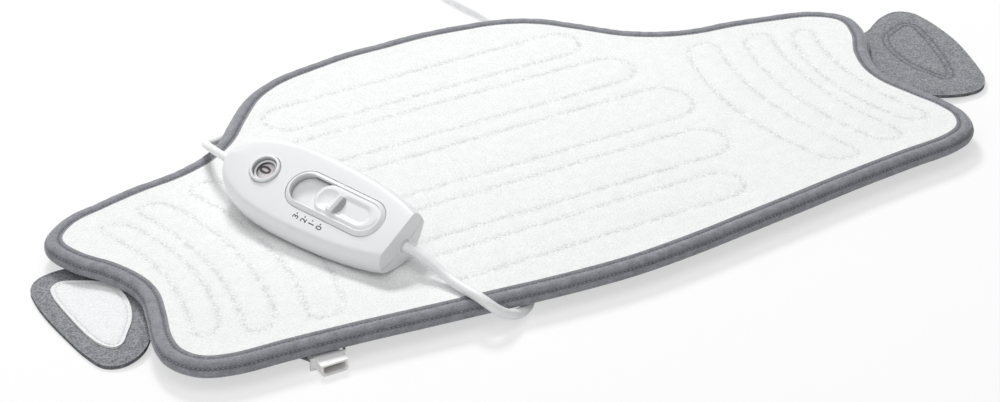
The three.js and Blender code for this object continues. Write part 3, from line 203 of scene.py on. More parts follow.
# Triangles that fill an outline, with inner points on a grid
def filled(line, spacing):
    low, high = line.min(0), line.max(0)
    xs = np.arange(low[0] + spacing / 2, high[0], spacing)
    ys = np.arange(low[1] + spacing / 2, high[1], spacing * 0.866)
    gridX, gridY = np.meshgrid(xs, ys)
    gridX[1::2] += spacing / 2
    grid = np.stack([gridX.ravel(), gridY.ravel()], axis=1)
    grid = grid[insideOf(grid, line)]
    grid = grid[segmentDistance(grid, line, closed=True) > 0.55 * spacing]
    points = np.vstack([line, grid])
    count = len(line)
    edges = [(i, (i + 1) % count) for i in range(count)]
    outcome = delaunay_2d_cdt([Vector(p) for p in points], edges, [], 1, 1e-7, False)
    made = np.array([tuple(v) for v in outcome[0]])
    faces = np.array([face for face in outcome[2] if len(face) == 3])
    faces = faces[insideOf(made[faces].mean(1), line)]
    a, b, c = (made[faces[:, i]] for i in range(3))
    turn = (b[:, 0] - a[:, 0]) * (c[:, 1] - a[:, 1]) - (b[:, 1] - a[:, 1]) * (c[:, 0] - a[:, 0])
    faces[turn < 0] = faces[turn < 0][:, ::-1]
    return made, faces


# Pad millimetres to frame metres
def toFrame(points):
    moved = np.array(points, float)
    moved[:, :2] += padPlace
    return moved * mm


# A mesh shaded smooth up to an angle between its faces
def meshObject(name, points, faces, sharpAngle=40):
    mesh = bpy.data.meshes.new(name)
    mesh.from_pydata(np.asarray(points).tolist(), [], [list(face) for face in faces])
    mesh.validate()
    obj = linked(name, mesh)
    smoothShade(obj, sharpAngle)
    return obj


# Smooth shading, with edges sharper than the angle kept
def smoothShade(obj, sharpAngle=40):
    obj.data.polygons.foreach_set("use_smooth", np.ones(len(obj.data.polygons), bool))
    obj.data.set_sharp_from_angle(angle=math.radians(sharpAngle))
    obj.data.update()


# One value per vertex, which a material may read
def setAttribute(obj, name, values):
    layer = obj.data.attributes.new(name, "FLOAT", "POINT")
    layer.data.foreach_set("value", np.asarray(values, np.float32))


# The vertices of an object, passed through a function of their points
def moveVertices(obj, place):
    flat = np.empty(len(obj.data.vertices) * 3)
    obj.data.vertices.foreach_get("co", flat)
    obj.data.vertices.foreach_set("co", place(flat.reshape(-1, 3)).ravel())


# A plan line at one height, or at a height for each of its points
def atHeight(line, height):
    return np.column_stack([line, np.broadcast_to(height, len(line))])


# Quads between rows of equal length; a row closes on itself where closed, and the last row joins
# the first where ringed
def gridFaces(rows, columns, closed=True, ringed=False):
    lastRow = rows if ringed else rows - 1
    lastColumn = columns if closed else columns - 1
    row, column = np.meshgrid(np.arange(lastRow), np.arange(lastColumn), indexing="ij")
    row, column = row.ravel(), column.ravel()
    nextRow, nextColumn = (row + 1) % rows, (column + 1) % columns
    corners = [(row, column), (row, nextColumn), (nextRow, nextColumn), (nextRow, column)]
    return np.stack([r * columns + c for r, c in corners], axis=1)


# The mesh as its modifiers leave it
def applyModifiers(obj):
    graph = bpy.context.evaluated_depsgraph_get()
    mesh = bpy.data.meshes.new_from_object(obj.evaluated_get(graph))
    obj.modifiers.clear()
    old = obj.data
    obj.data = mesh
    bpy.data.meshes.remove(old)


# Takes each cutter away from the object
def cut(obj, *cutters):
    for cutter in cutters:
        modifier = obj.modifiers.new("cut", "BOOLEAN")
        modifier.operation = "DIFFERENCE"
        modifier.solver = "EXACT"
        modifier.object = cutter
        applyModifiers(obj)
        bpy.data.objects.remove(cutter)


# Gives a piece its material and its body, and hides the solids that it stands for; the slot is not used
def dress(obj, material, body, slot, *nodes):
    obj.data.materials.clear()
    obj.data.materials.append(material)
    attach(obj, body)
    if nodes:
        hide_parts(*nodes)
    return obj


# Leads: both routes are those of the CAD source

padCordRoute = leadStart(2.9, 6.9) + [
    (-117.6, -110.2, 29), (-113.9, -119.3, 25.6), (-111.2, -128.3, 22.6), (-109.1, -137.5, 21.3),
    (-107.2, -147, 21.4), (-105.2, -155.5, 21.5), (-102, -162.6, 19.2), (-97.2, -166.4, 15),
    (-91, -167.2, 10.8), (-84, -165.2, 7.3), (-76.5, -160.8, 4.6), (-69, -154.6, 3.4),
    (-63.2, -146.5, 3.4), (-60.4, -136.5, 3.4), (-62.4, -126.5, 3.4), (-70, -117.5, 3.4),
    (-83, -111.3, 3.4), (-100, -109.5, 3.4), (-118, -110.5, 3.4), (-136, -112, 3.4), (-150, -112.4, 3.4),
]
mainsRoute = leadStart(-controllerLength - 1.9, -controllerLength - 5.9) + [
    (-176.4, 47.5, 37.9), (-176.2, 56.5, 36.1), (-175.2, 65.5, 33.5), (-173.4, 74.5, 30.1),
    (-170.6, 83.3, 26), (-167, 91.6, 21.4), (-162.6, 99.3, 16.6), (-157.5, 106.6, 11.9),
    (-151.8, 113.4, 7.7), (-145.4, 119.4, 4.4), (-138, 123.6, 2.85), (-129, 125, 2.85),
    (-116, 122, 2.85), (-96, 116.4, 2.85), (-60, 115, 2.85), (-20, 118, 2.85), (20, 124, 2.85),
    (52, 130, 2.85), (75, 139, 2.85), (89, 153, 2.85), (95, 171, 2.85), (94.4, 190, 2.85),
    (90, 209, 3.05), (86.6, 228, 3.35),
]
coil = {"x": 130, "y": 272, "middleRadius": 32.4, "turns": 8.25, "spare": 0.5, "steps": 36, "lift": 0.9,
        "tailReach": 49, "tailFall": 2.5}
turnPitch = cordDiameters["mains"] + coil["spare"]
coilOuter = coil["middleRadius"] + turnPitch * coil["turns"] / 4
coilLow = cordDiameters["mains"] / 2 + 0.15 + coil["lift"]
plugAxis = 13.7 / 2 + 0.15


# The coil spirals in below, climbs in the half turn where it reverses, and spirals out above:
# radius = outer - pitch * min(angle, total - angle) / turn, height = low + pitch * smoothstep(angle)
def coilLine():
    total = coil["turns"] * 2 * math.pi
    angle = np.linspace(0, total, int(coil["turns"] * coil["steps"]) + 1)
    radius = coilOuter - turnPitch * np.minimum(angle, total - angle) / (2 * math.pi)
    rise = np.clip((angle - total / 2 + math.pi / 2) / math.pi, 0, 1)
    height = coilLow + turnPitch * rise * rise * (3 - 2 * rise)
    return np.stack([coil["x"] - radius * np.cos(angle), coil["y"] + radius * np.sin(angle), height], axis=1)


# A round tube: one open curve with a bevel of the lead's radius
def cordObject(name, line, diameter):
    curve = bpy.data.curves.new(name, "CURVE")
    curve.dimensions = "3D"
    curve.bevel_depth = diameter / 2 * mm
    curve.bevel_resolution = 5
    curve.use_fill_caps = True
    spline = curve.splines.new("POLY")
    spline.points.add(len(line) - 1)
    spline.points.foreach_set("co", np.hstack([line, np.ones((len(line), 1))]).ravel())
    spline.use_smooth = True
    return linked(name, curve)


padCordLine = toFrame(smoothCurve(padCordRoute, 8))
coilPoints = coilLine()
plugPlace = np.array([coil["x"] + coil["tailReach"], coil["y"] + coilOuter - coil["tailFall"], plugAxis])
intoCoil = [(coil["x"] - coilOuter, 245, coilLow),
            (coil["x"] - coilOuter, coil["y"] - cordDiameters["mains"], coilLow)]
mainsStart = smoothCurve(mainsRoute + intoCoil, 8)
tailStart = coilPoints[-1] + (cordDiameters["mains"] + 0.3, 0, 0)
tailLead = np.array([12, 0, 0])
tail = smoothCurve([tailStart, tailStart + tailLead, plugPlace - tailLead, plugPlace], 8)
mainsLine = toFrame(np.vstack([mainsStart, coilPoints, tail]))
padLead = cordObject("pad_lead", padCordLine, cordDiameters["pad"])
mainsLead = cordObject("mains_lead", mainsLine, cordDiameters["mains"])
report("leads")


# Materials

# An empty node group with named number inputs and the given outputs
def newGroup(name, inputs, outputs):
    group = bpy.data.node_groups.new(name, "ShaderNodeTree")
    for label, value in inputs:
        socket = group.interface.new_socket(label, in_out="INPUT", socket_type="NodeSocketFloat")
        socket.default_value = value
    for label, kind in outputs:
        group.interface.new_socket(label, in_out="OUTPUT", socket_type=kind)
    return group, group.nodes.new("NodeGroupInput"), group.nodes.new("NodeGroupOutput")


# Scale of two noises, how much of the coarse one is mixed in, the span that the mask spreads, and
# how strong and deep the bump is
def grain(fine, coarse, share, low, high, strength, depth):
    return {"Fine": fine, "Coarse": coarse, "Share": share, "Low": low, "High": high,
            "Strength": strength, "Depth": depth}


plainGrain = grain(900, 120, 0.3, 0.3, 0.7, 0.3, 0.0003)
fleeceGrain = grain(800, 150, 0.2, 0.38, 0.6, 0.45, 0.0005)
velvetGrain = grain(1300, 170, 0.35, 0.36, 0.64, 0.5, 0.0004)
feltGrain = grain(800, 300, 0.2, 0.4, 0.6, 0.6, 0.0006)
moulded = grain(2600, 60, 0.3, 0.2, 0.8, 0.06, 0.0001)
sheath = grain(1500, 90, 0.4, 0.2, 0.8, 0.1, 0.0001)
floorGrain = grain(40, 3, 0.5, 0.3, 0.7, 0, 0.0003)


# Two noises mixed into one mask, and the bump that the mask makes
def grainGroup():
    outputs = [("Mask", "NodeSocketFloat"), ("Normal", "NodeSocketVector")]
    group, given, made = newGroup("two_grains", list(plainGrain.items()), outputs)
    nodes, links = group.nodes, group.links
    place = nodes.new("ShaderNodeTexCoord")
    noises = []
    for label in ("Fine", "Coarse"):
        noise = nodes.new("ShaderNodeTexNoise")
        noise.inputs["Detail"].default_value = 3
        links.new(place.outputs["Object"], noise.inputs["Vector"])
        links.new(given.outputs[label], noise.inputs["Scale"])
        noises.append(noise)
    mix = nodes.new("ShaderNodeMix")
    links.new(given.outputs["Share"], mix.inputs["Factor"])
    links.new(noises[0].outputs["Fac"], mix.inputs["A"])
    links.new(noises[1].outputs["Fac"], mix.inputs["B"])
    spread = nodes.new("ShaderNodeMapRange")
    links.new(mix.outputs["Result"], spread.inputs["Value"])
    links.new(given.outputs["Low"], spread.inputs["From Min"])
    links.new(given.outputs["High"], spread.inputs["From Max"])
    bump = nodes.new("ShaderNodeBump")
    links.new(given.outputs["Strength"], bump.inputs["Strength"])
    links.new(given.outputs["Depth"], bump.inputs["Distance"])
    links.new(mix.outputs["Result"], bump.inputs["Height"])
    links.new(spread.outputs["Result"], made.inputs["Mask"])
    links.new(bump.outputs["Normal"], made.inputs["Normal"])
    return group


twoGrains = grainGroup()


# A principled surface: its colour runs between two tones with the grain mask, and attributes of
# the mesh may darken it with painted shade, all over or only between the grains
def surfaceMaterial(name, dark, light, roughness, grains, shader=None, shade=None, speckled=False):
    material = bpy.data.materials.new(name)
    material.use_nodes = True
    nodes, links = material.node_tree.nodes, material.node_tree.links
    principled = nodes["Principled BSDF"]
    principled.inputs["Roughness"].default_value = roughness
    for label, value in (shader or {}).items():
        principled.inputs[label].default_value = value
    group = nodes.new("ShaderNodeGroup")
    group.node_tree = twoGrains
    for label, value in grains.items():
        group.inputs[label].default_value = value
    mix = nodes.new("ShaderNodeMix")
    mix.data_type = "RGBA"
    mix.inputs["A"].default_value = (*dark, 1)
    mix.inputs["B"].default_value = (*light, 1)
    links.new(group.outputs["Mask"], mix.inputs["Factor"])
    colour = mix.outputs["Result"]
    for attribute, tone in (shade or {}).items():
        layer = nodes.new("ShaderNodeAttribute")
        layer.attribute_name = attribute
        paintedShade = nodes.new("ShaderNodeMix")
        paintedShade.data_type = "RGBA"
        paintedShade.blend_type = "MULTIPLY"
        paintedShade.inputs["B"].default_value = (*tone, 1)
        links.new(layer.outputs["Fac"], paintedShade.inputs["Factor"])
        if speckled:
            between = nodes.new("ShaderNodeMath")
            between.operation = "SUBTRACT"
            between.inputs[0].default_value = 1
            share = nodes.new("ShaderNodeMath")
            share.operation = "MULTIPLY"
            links.new(group.outputs["Mask"], between.inputs[1])
            links.new(between.outputs["Value"], share.inputs[0])
            links.new(layer.outputs["Fac"], share.inputs[1])
            links.new(share.outputs["Value"], paintedShade.inputs["Factor"])
        links.new(colour, paintedShade.inputs["A"])
        colour = paintedShade.outputs["Result"]
    links.new(colour, principled.inputs["Base Color"])
    links.new(group.outputs["Normal"], principled.inputs["Normal"])
    return material


materials = {
    # The fleece's channel tint is painted shade, broken into speckles by its grain
    "fleece": surfaceMaterial("fleece", (0.81, 0.82, 0.82), (0.94, 0.94, 0.94), 0.95, fleeceGrain,
                              {"Sheen Weight": 0.2, "Sheen Roughness": 0.6}, {"channel": (0.76, 0.76, 0.77)},
                              speckled=True),
    # The velvet's seam tint is painted shade
    "velvet": surfaceMaterial("velvet", (0.19, 0.195, 0.215), (0.35, 0.36, 0.395), 0.85, velvetGrain,
                              {"Sheen Weight": 0.5, "Sheen Roughness": 0.35}, {"seam": (0.42, 0.42, 0.44)}),
    # The felt's seam tint is painted shade
    "felt": surfaceMaterial("felt", (0.15, 0.155, 0.17), (0.34, 0.35, 0.375), 0.95, feltGrain,
                            {"Sheen Weight": 0.3, "Sheen Roughness": 0.5}, {"seam": (0.5, 0.5, 0.52)}),
    # The hook patch's seam tint is painted shade
    "hook": surfaceMaterial("hook", (0.82, 0.84, 0.85), (0.94, 0.95, 0.95), 0.9, feltGrain,
                            {"Sheen Weight": 0.2}, {"seam": (0.88, 0.89, 0.9)}),
    # The backing's channel tint is painted shade
    "backing": surfaceMaterial("backing", (0.15, 0.155, 0.17), (0.3, 0.31, 0.33), 0.95, feltGrain,
                               {"Sheen Weight": 0.2}, {"channel": (0.6, 0.6, 0.6)}),
    "wadding": surfaceMaterial("wadding", (0.72, 0.71, 0.68), (0.84, 0.83, 0.8), 1, fleeceGrain),
    "thread": surfaceMaterial("thread", (0.08, 0.08, 0.09), (0.17, 0.17, 0.19), 0.7, velvetGrain),
    "greyThread": surfaceMaterial("grey_thread", (0.25, 0.255, 0.28), (0.38, 0.39, 0.42), 0.7, velvetGrain),
    "paleThread": surfaceMaterial("pale_thread", (0.6, 0.62, 0.64), (0.75, 0.77, 0.79), 0.7, velvetGrain),
    "socket": surfaceMaterial("socket", (0.92, 0.92, 0.92), (0.95, 0.95, 0.95), 0.4, moulded),
    # The shell's shade attribute is painted shade in the slot and the window and on the thumb rib
    "shell": surfaceMaterial("shell", (0.885, 0.89, 0.9), (0.905, 0.91, 0.92), 0.36, moulded,
                             {"Coat Weight": 0.1, "Coat Roughness": 0.2}, {"shade": (0.42, 0.43, 0.44)}),
    "greyPlastic": surfaceMaterial("grey_plastic", (0.5, 0.51, 0.53), (0.58, 0.59, 0.61), 0.5, moulded),
    "black": surfaceMaterial("black_plastic", (0.012, 0.012, 0.014), (0.025, 0.025, 0.03), 0.5, moulded),
    "ink": surfaceMaterial("ink", (0.03, 0.03, 0.035), (0.06, 0.06, 0.065), 0.5, moulded),
    "windowInk": surfaceMaterial("window_ink", (0.02, 0.003, 0.006), (0.05, 0.008, 0.015), 0.4, moulded),
    "windowFace": surfaceMaterial("window_face", (0.83, 0.76, 0.78), (0.88, 0.82, 0.84), 0.4, moulded),
    # The bore liner's dark tone is painted shade
    "bore": surfaceMaterial("bore", (0.13, 0.13, 0.14), (0.17, 0.17, 0.18), 0.5, moulded),
    "cord": surfaceMaterial("cord", (0.89, 0.9, 0.91), (0.93, 0.94, 0.95), 0.42, sheath),
    "board": surfaceMaterial("board", (0.02, 0.1, 0.045), (0.03, 0.15, 0.07), 0.4, moulded),
    "red": surfaceMaterial("red_plastic", (0.55, 0.02, 0.02), (0.65, 0.04, 0.04), 0.2, moulded),
    "clear": surfaceMaterial("clear_plastic", (0.9, 0.92, 0.93), (0.93, 0.95, 0.96), 0.08, moulded,
                             {"Alpha": 0.05}),
    "brass": surfaceMaterial("brass", (0.62, 0.43, 0.16), (0.75, 0.55, 0.24), 0.28, sheath, {"Metallic": 1}),
    "steel": surfaceMaterial("steel", (0.52, 0.52, 0.5), (0.66, 0.66, 0.64), 0.3, sheath, {"Metallic": 1}),
}
report("materials")


# Gives a lead its material and its body, and hides the solids that it stands for
def dressCord(obj, *nodes, **facts):
    obj.data.materials.append(materials["cord"])
    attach(obj, "pad")
    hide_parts(*nodes)


nodes = frame["nodes"]
dressCord(padLead, "pad_cord", diameter=cordDiameters["pad"] * mm, far_end="connector", lay="loose",
          with_pieces=[nodes["coupling_relief"], nodes["coupling_plug"]])
onMainsLead = ("plug_relief", "plug_body", "plug_pin_1", "plug_pin_2", "coil_tie")
dressCord(mainsLead, "mains_cord", "mains_coil", "mains_tail", diameter=cordDiameters["mains"] * mm,
          far_end="plug", lay="coiled", with_pieces=[nodes[name] for name in onMainsLead])


# The pad's outline and its sewn lines

outlineShares = [
    (0, 0.99), (0.1, 0.99), (0.2, 0.965), (0.285, 0.932), (0.36, 0.858), (0.43, 0.724), (0.5, 0.577),
    (0.575, 0.48), (0.66, 0.421), (0.77, 0.39), (0.865, 0.348), (0.945, 0.302), (0.99, 0.215),
    (0.975, 0.09), (0.93, -0.05), (0.902, -0.2), (0.9, -0.33), (0.922, -0.49), (0.945, -0.63),
    (0.948, -0.73), (0.925, -0.805), (0.875, -0.842), (0.76, -0.858), (0.6, -0.886), (0.45, -0.92),
    (0.3, -0.952), (0.15, -0.983), (0, -0.998),
]
halfSize = np.array([fleeceLength, fleeceDepth]) / 2
right = np.array(outlineShares)
wholeOutline = np.vstack([right, right[1:-1][::-1] * (-1, 1)]) * halfSize
outline = resampled(smoothCurve(wholeOutline, 16, closed=True), 2.2, closed=True)
outwards = leftNormals(outline)


# The outline moved outwards by a distance
def outlineAt(distance):
    return outline + outwards * distance


middleLoopShares = [
    (0.656, 0.1, 0.405), (0.34, 0.114, 0.451), (-0.026, 0.134, 0.486), (-0.393, 0.115, 0.456),
    (-0.724, 0.1, 0.381),
]
wingLoopShares = [
    (0.588, 0.058, 0.042, -0.228, 0.578), (0.733, 0.05, 0.036, -0.231, 0.533),
    (0.837, 0.05, 0.03, -0.228, 0.46),
]


# A long loop with round ends; across += bow * (along / half span) ** 2
def loopLine(x, y, halfSpan, halfWidth, bow, turned):
    reach = halfSpan - halfWidth
    turn = np.linspace(0, math.pi, 17)
    straight = np.linspace(1, -1, 41)[1:-1]
    across = np.concatenate([halfWidth * np.cos(turn), np.full(39, -halfWidth),
                             -halfWidth * np.cos(turn), np.full(39, halfWidth)])
    along = np.concatenate([reach + halfWidth * np.sin(turn), reach * straight,
                            -reach - halfWidth * np.sin(turn), -reach * straight])
    across = across + bow * (along / halfSpan) ** 2
    pair = (x - along, y + across) if turned else (x + across, y + along)
    return np.stack(pair, axis=1)


halfX, halfY = halfSize
loops = [loopLine(0, y * halfY, reach * halfX, width * halfY, 0, True)
         for y, width, reach in middleLoopShares]
loops += [loopLine(side * x * halfX, y * halfY, span * halfY, width * halfX, side * bow * halfX, False)
          for side in (1, -1) for x, bow, width, y, span in wingLoopShares]


# Distance to the nearest sewn loop
def channelDistance(p):
    return np.min([segmentDistance(p, loop, closed=True) for loop in loops], axis=0)


# A level surface at one height
def flatAt(height):
    return lambda p: np.full(len(p), float(height))


# A closed sheet with a rounded edge: rings go round the edge from below to above, and the two
# faces are filled; height = middle + half thickness * sin(turn)
def slab(edge, fine, coarse, topHeight, bottomHeight, roll, ringCount=7):
    inwards = -leftNormals(edge)
    turns = np.linspace(-math.pi / 2, math.pi / 2, ringCount)
    rings = [edge + inwards * roll * (1 - math.cos(turn)) for turn in turns]
    levels = []
    for ring, turn in zip(rings, turns):
        high, low = topHeight(ring), bottomHeight(ring)
        levels.append((high + low) / 2 + (high - low) / 2 * math.sin(turn))
    count = len(edge)
    points = [atHeight(ring, level) for ring, level in zip(rings, levels)]
    faces = gridFaces(ringCount, count)[:, ::-1].tolist()
    total = ringCount * count
    for ring, spacing, height, first, flip in (
        (rings[-1], fine, topHeight, (ringCount - 1) * count, False),
        (rings[0], coarse, bottomHeight, 0, True),
    ):
        flat, triangles = filled(ring, spacing)
        inner = flat[count:]
        points.append(atHeight(inner, height(inner)))
        renumber = np.concatenate([np.arange(first, first + count), np.arange(total, total + len(inner))])
        triangles = renumber[triangles]
        faces += (triangles[:, ::-1] if flip else triangles).tolist()
        total += len(inner)
    return np.vstack(points), faces


# Fleece: plush sheet that swells over the binding's fold and is low in its pressed channels

fleece = {"edgeRise": 0.5, "edgeReach": 5, "channelDepth": 0.4, "channelWidth": 1.5, "puff": 0.25,
          "puffReach": 6, "wave": 0.22, "waveFrom": 12, "overlap": 0.1, "roll": 1.3, "spacing": 2.1,
          "coarse": 14, "channelShadeWidth": 1.9}
# The controller's near flank and the leads press the plush down: ends of each line, depth, reach
dents = [
    ((-137, -112), (-175, -8), 2.2, 9.5),
    ((-112, -126), (-108, -142), 0.5, 5),
]


# Slow uneven swell of the plush: a sum of crossed sines
def swell(p):
    x, y = p[:, 0], p[:, 1]
    return (np.sin(x / 23 + 1.3 * np.sin(y / 31)) + np.sin(y / 19 + 0.8 * np.sin(x / 27 + 2))
            + 0.6 * np.sin((x + y) / 11 + 1)) / 2.6


# Plush height: its top, plus a rise that fades from the edge, plus a puff that grows away from each
# channel, less the channel's own groove and the dents, each exp(-(distance / reach)^2), plus the swell
def fleeceHeight(p):
    edge = segmentDistance(p, outline, closed=True)
    channel = channelDistance(p)
    height = fleeceTop + fleece["edgeRise"] * np.exp(-edge / fleece["edgeReach"])
    height += fleece["puff"] * (1 - np.exp(-((channel / fleece["puffReach"]) ** 2)))
    height -= fleece["channelDepth"] * np.exp(-((channel / fleece["channelWidth"]) ** 2))
    height += fleece["wave"] * swell(p) * np.clip(edge / fleece["waveFrom"], 0, 1)
    for start, end, depth, reach in dents:
        away = segmentDistance(p, np.array([start, end], float))
        height -= depth * np.exp(-((away / reach) ** 2))
    return height


fleeceEdge = outlineAt(fleece["overlap"])[::-1]
points, faces = slab(fleeceEdge, fleece["spacing"], fleece["coarse"], fleeceHeight,
                     flatAt(fleeceBottom + 0.2), fleece["roll"])
plush = meshObject("plush_top", toFrame(points), faces, 60)
# Painted shade along the pressed channels, which the fleece material breaks into speckles
channelShade = np.exp(-((channelDistance(points[:, :2]) / fleece["channelShadeWidth"]) ** 2))
setAttribute(plush, "channel", channelShade * (points[:, 2] > fleeceBottom + 1))
dress(plush, materials["fleece"], "pad", "fleece", "top_fleece")
report("fleece")

# Back cover, with the same channels pressed in from below
backCover = {"inset": 0.4, "roll": 0.4, "spacing": 4.5, "thickness": 1.2, "lift": 0.1,
             "channelDepth": 0.5, "channelWidth": 2.5}


# How far a point lies in a channel: exp(-(distance / width)^2)
def pressedIn(p):
    return np.exp(-((channelDistance(p) / backCover["channelWidth"]) ** 2))


points, faces = slab(outlineAt(-backCover["inset"])[::-1], backCover["spacing"], backCover["spacing"],
                     flatAt(padBack + backCover["thickness"]),
                     lambda p: padBack + backCover["lift"] + backCover["channelDepth"] * pressedIn(p),
                     backCover["roll"], 3)
back = meshObject("back_sheet", toFrame(points), faces, 60)
# Painted shade in the pressed channels
setAttribute(back, "channel", pressedIn(points[:, :2]))
dress(back, materials["backing"], "pad", "grey_fabric", "back_cover")
report("back")


# Stitches: short threads end to end along a closed line, each a tube whose middle line rises by
# radius * (0.9 - 1.3 s^2) and whose radius shrinks as the root of 1 - 0.75 s^2, s from -1 to 1
def stitches(name, line, normals, stitch, radius, material):
    pitch, length = stitch["pitch"], stitch["length"]
    run = lengthAlong(line, closed=True)
    whole = np.vstack([line, line[:1]])
    ups = np.vstack([normals, normals[:1]])
    count = int(run[-1] / pitch)
    middles = (np.arange(count) + 0.5) * run[-1] / count
    sections, sides = 5, 6

    def at(distance, values):
        distance = np.mod(distance, run[-1])
        return np.stack([np.interp(distance, run, values[:, i]) for i in range(3)], axis=1)

    rows = []
    for k in range(sections):
        share = k / (sections - 1) * 2 - 1
        centre = at(middles + share * length / 2, whole)
        ahead = at(middles + share * length / 2 + 0.05, whole) - centre
        ahead /= np.linalg.norm(ahead, axis=1)[:, None]
        up = at(middles, ups)
        side = np.cross(ahead, up)
        side /= np.linalg.norm(side, axis=1)[:, None]
        centre = centre + up * radius * (0.9 - 1.3 * share**2)
        size = radius * math.sqrt(max(0.05, 1 - 0.75 * share**2))
        for j in range(sides):
            turn = 2 * math.pi * j / sides
            rows.append(centre + size * (side * math.cos(turn) + up * math.sin(turn)))
    points = np.stack(rows, axis=1).reshape(-1, 3)
    one = gridFaces(sections, sides)
    each = sections * sides
    shift = (np.arange(count) * each)[:, None, None]
    faces = (one[None] + shift).reshape(-1, 4).tolist()
    caps = np.array([list(range(sides))[::-1], list(range(each - sides, each))])
    faces += (caps[None] + shift).reshape(-1, sides).tolist()
    dress(meshObject(name, toFrame(points), faces, 80), material, "pad", "grey_fabric")


# Binding: a folded velvet strip round the edge, sewn along its inner fold and its outer roll

pucker = 0.22
# out from the fleece's edge, up from the pad's back, and how much the cloth puckers there
bindingProfile = [
    (-0.9, 7.9, 0), (-0.8, 8.6, 0), (-0.3, 9.2, 0.2), (0.7, 9.65, 0.6), (2, 9.7, 0.6), (3.1, 9.4, 0.4),
    (3.8, 8.85, 0.1), (4.3, 8.95, 0.1), (5, 9.6, 0.5), (6.2, 10.1, 1), (7.9, 10.2, 1.2), (9.5, 9.7, 1.2),
    (10.7, 8.7, 0.9), (11.5, 7.6, 0.4), (11.7, 6.9, 0.1), (12.1, 6.5, 0.1), (12.8, 6.0, 0.5),
    (13.2, 4.8, 0.8), (13.1, 3.2, 0.8), (12.4, 1.5, 0.5), (11, 0.4, 0.2), (8.5, 0, 0), (4, 0, 0),
    (0, 0.05, 0), (-0.2, 0.5, 0), (0, 1, 0), (10.3, 1.2, 0), (10.3, 6.4, 0), (0.3, 6.7, 0),
]
seams = [
    {"name": "inner", "out": 3.95, "up": 8.9, "tilt": 0.15, "radius": 0.34},
    {"name": "outer", "out": 11.9, "up": 6.85, "tilt": 0.9, "radius": 0.25},
]
bindingStitch = {"pitch": 2.9, "length": 1.8}
bindingLine = resampled(smoothCurve(wholeOutline, 16, closed=True), 1.6, closed=True)
bindingOut = leftNormals(bindingLine)
bindingRun = lengthAlong(bindingLine, closed=True)[:-1]
# Gathers of the cloth along its length: sines of unlike lengths, whole numbers of waves round
turnShare = bindingRun / (bindingRun[-1] + 1.6) * 2 * math.pi
gather = (np.sin(turnShare * 167 + 2 * np.sin(turnShare * 9)) + 0.7 * np.sin(turnShare * 71 + 1)
          + 0.9 * np.sin(turnShare * 29 + 2.2 * np.sin(turnShare * 5))) / 2.6
rows = []
for out, up, looseness in bindingProfile:
    reach = out + pucker * looseness * gather * (0.9 if up < 8 else 0.2)
    height = padBack + up + pucker * looseness * np.roll(gather, 3) * (1 if up > 6 else 0.3)
    rows.append(atHeight(bindingLine + bindingOut * reach[:, None], height))
faces = gridFaces(len(rows), len(bindingLine), ringed=True)[:, ::-1]
binding = meshObject("velvet_binding", toFrame(np.vstack(rows)), faces, 70)
profile = np.array(bindingProfile)
# Painted shade under the fleece's edge on the inner fold and along both sewn seams
seamShade = ((profile[:, 0] < -0.1) & (profile[:, 1] > 7.5)).astype(float)
for seam in seams:
    away = np.hypot(profile[:, 0] - seam["out"], profile[:, 1] - seam["up"])
    seamShade = np.maximum(seamShade, np.exp(-((away / 0.8) ** 2)))
setAttribute(binding, "seam", np.repeat(seamShade, len(bindingLine)))
dress(binding, materials["velvet"], "pad", "grey_fabric", "edge_binding")
for seam in seams:
    stitches(f"{seam['name']}_binding_stitches",
             atHeight(bindingLine + bindingOut * seam["out"], padBack + seam["up"]),
             atHeight(bindingOut * math.sin(seam["tilt"]), math.cos(seam["tilt"])),
             bindingStitch, seam["radius"], materials["greyThread"])
report("binding")


# End tabs

leftTabShares = [
    (-0.485, 0.43), (-0.5, 0.29), (-0.463, 0.165), (-0.33, 0.085), (-0.15, 0.035), (0.126, -0.018),
    (0.3, -0.02), (0.415, 0.01), (0.49, 0.12), (0.51, 0.33), (0.44, 0.58), (0.3, 0.82), (0.14, 0.97),
    (0, 1), (-0.1, 0.96), (-0.22, 0.82), (-0.34, 0.66), (-0.44, 0.54),
]
rightTabShares = [
    (-0.53, 0.4), (-0.53, 0.193), (-0.5, 0.08), (-0.41, -0.003), (-0.28, -0.035), (-0.12, -0.055),
    (0.063, -0.062), (0.25, -0.04), (0.41, 0.005), (0.5, 0.06), (0.535, 0.16), (0.48, 0.31),
    (0.4, 0.42), (0.32, 0.52), (0.2, 0.8), (0.05, 0.96), (-0.15, 1), (-0.36, 0.9), (-0.48, 0.66),
]
patchShares = [
    (-0.36, 0.36), (-0.3, 0.2), (-0.2, 0.11), (-0.093, 0.06), (0.12, 0), (0.28, -0.01), (0.35, 0.04),
    (0.385, 0.2), (0.35, 0.45), (0.24, 0.84), (0.15, 0.96), (0.043, 0.99), (-0.07, 0.95),
    (-0.177, 0.84), (-0.28, 0.64), (-0.35, 0.48),
]
tab = {"thickness": 3, "waistShare": 0.9, "droopFrom": 60, "droopTo": 16, "patchThickness": 1.1,
       "patchDepth": 37, "patchOffset": 8.8, "gap": 0.3, "seamInset": 1.2, "threadInset": 2.2,
       "secondSeam": 4, "threadRadius": 0.22}
tabStitch = {"pitch": 2.8, "length": 2.1}
tabPlaces = [
    {"side": "left", "length": 111, "depth": 68, "reach": 48, "turn": -3.5, "heightShare": -0.212,
     "shares": leftTabShares},
    {"side": "right", "length": 114, "depth": 90, "reach": 75, "turn": -11, "heightShare": -0.116,
     "shares": rightTabShares},
]


# A tab's or patch's closed outline from its shares, running anticlockwise
def tabLine(shares, length, depth, offset, spacing):
    flat = np.array([(offset + t * depth, s * length) for s, t in shares])
    line = resampled(smoothCurve(flat, 10, closed=True), spacing, closed=True)
    area = (line[:, 0] * np.roll(line[:, 1], -1) - line[:, 1] * np.roll(line[:, 0], -1)).sum()
    return line if area > 0 else line[::-1]


# 3 s^2 - 2 s^3 of a value kept between 0 and 1
def smoothStep(value):
    share = np.clip(value, 0, 1)
    return share * share * (3 - 2 * share)


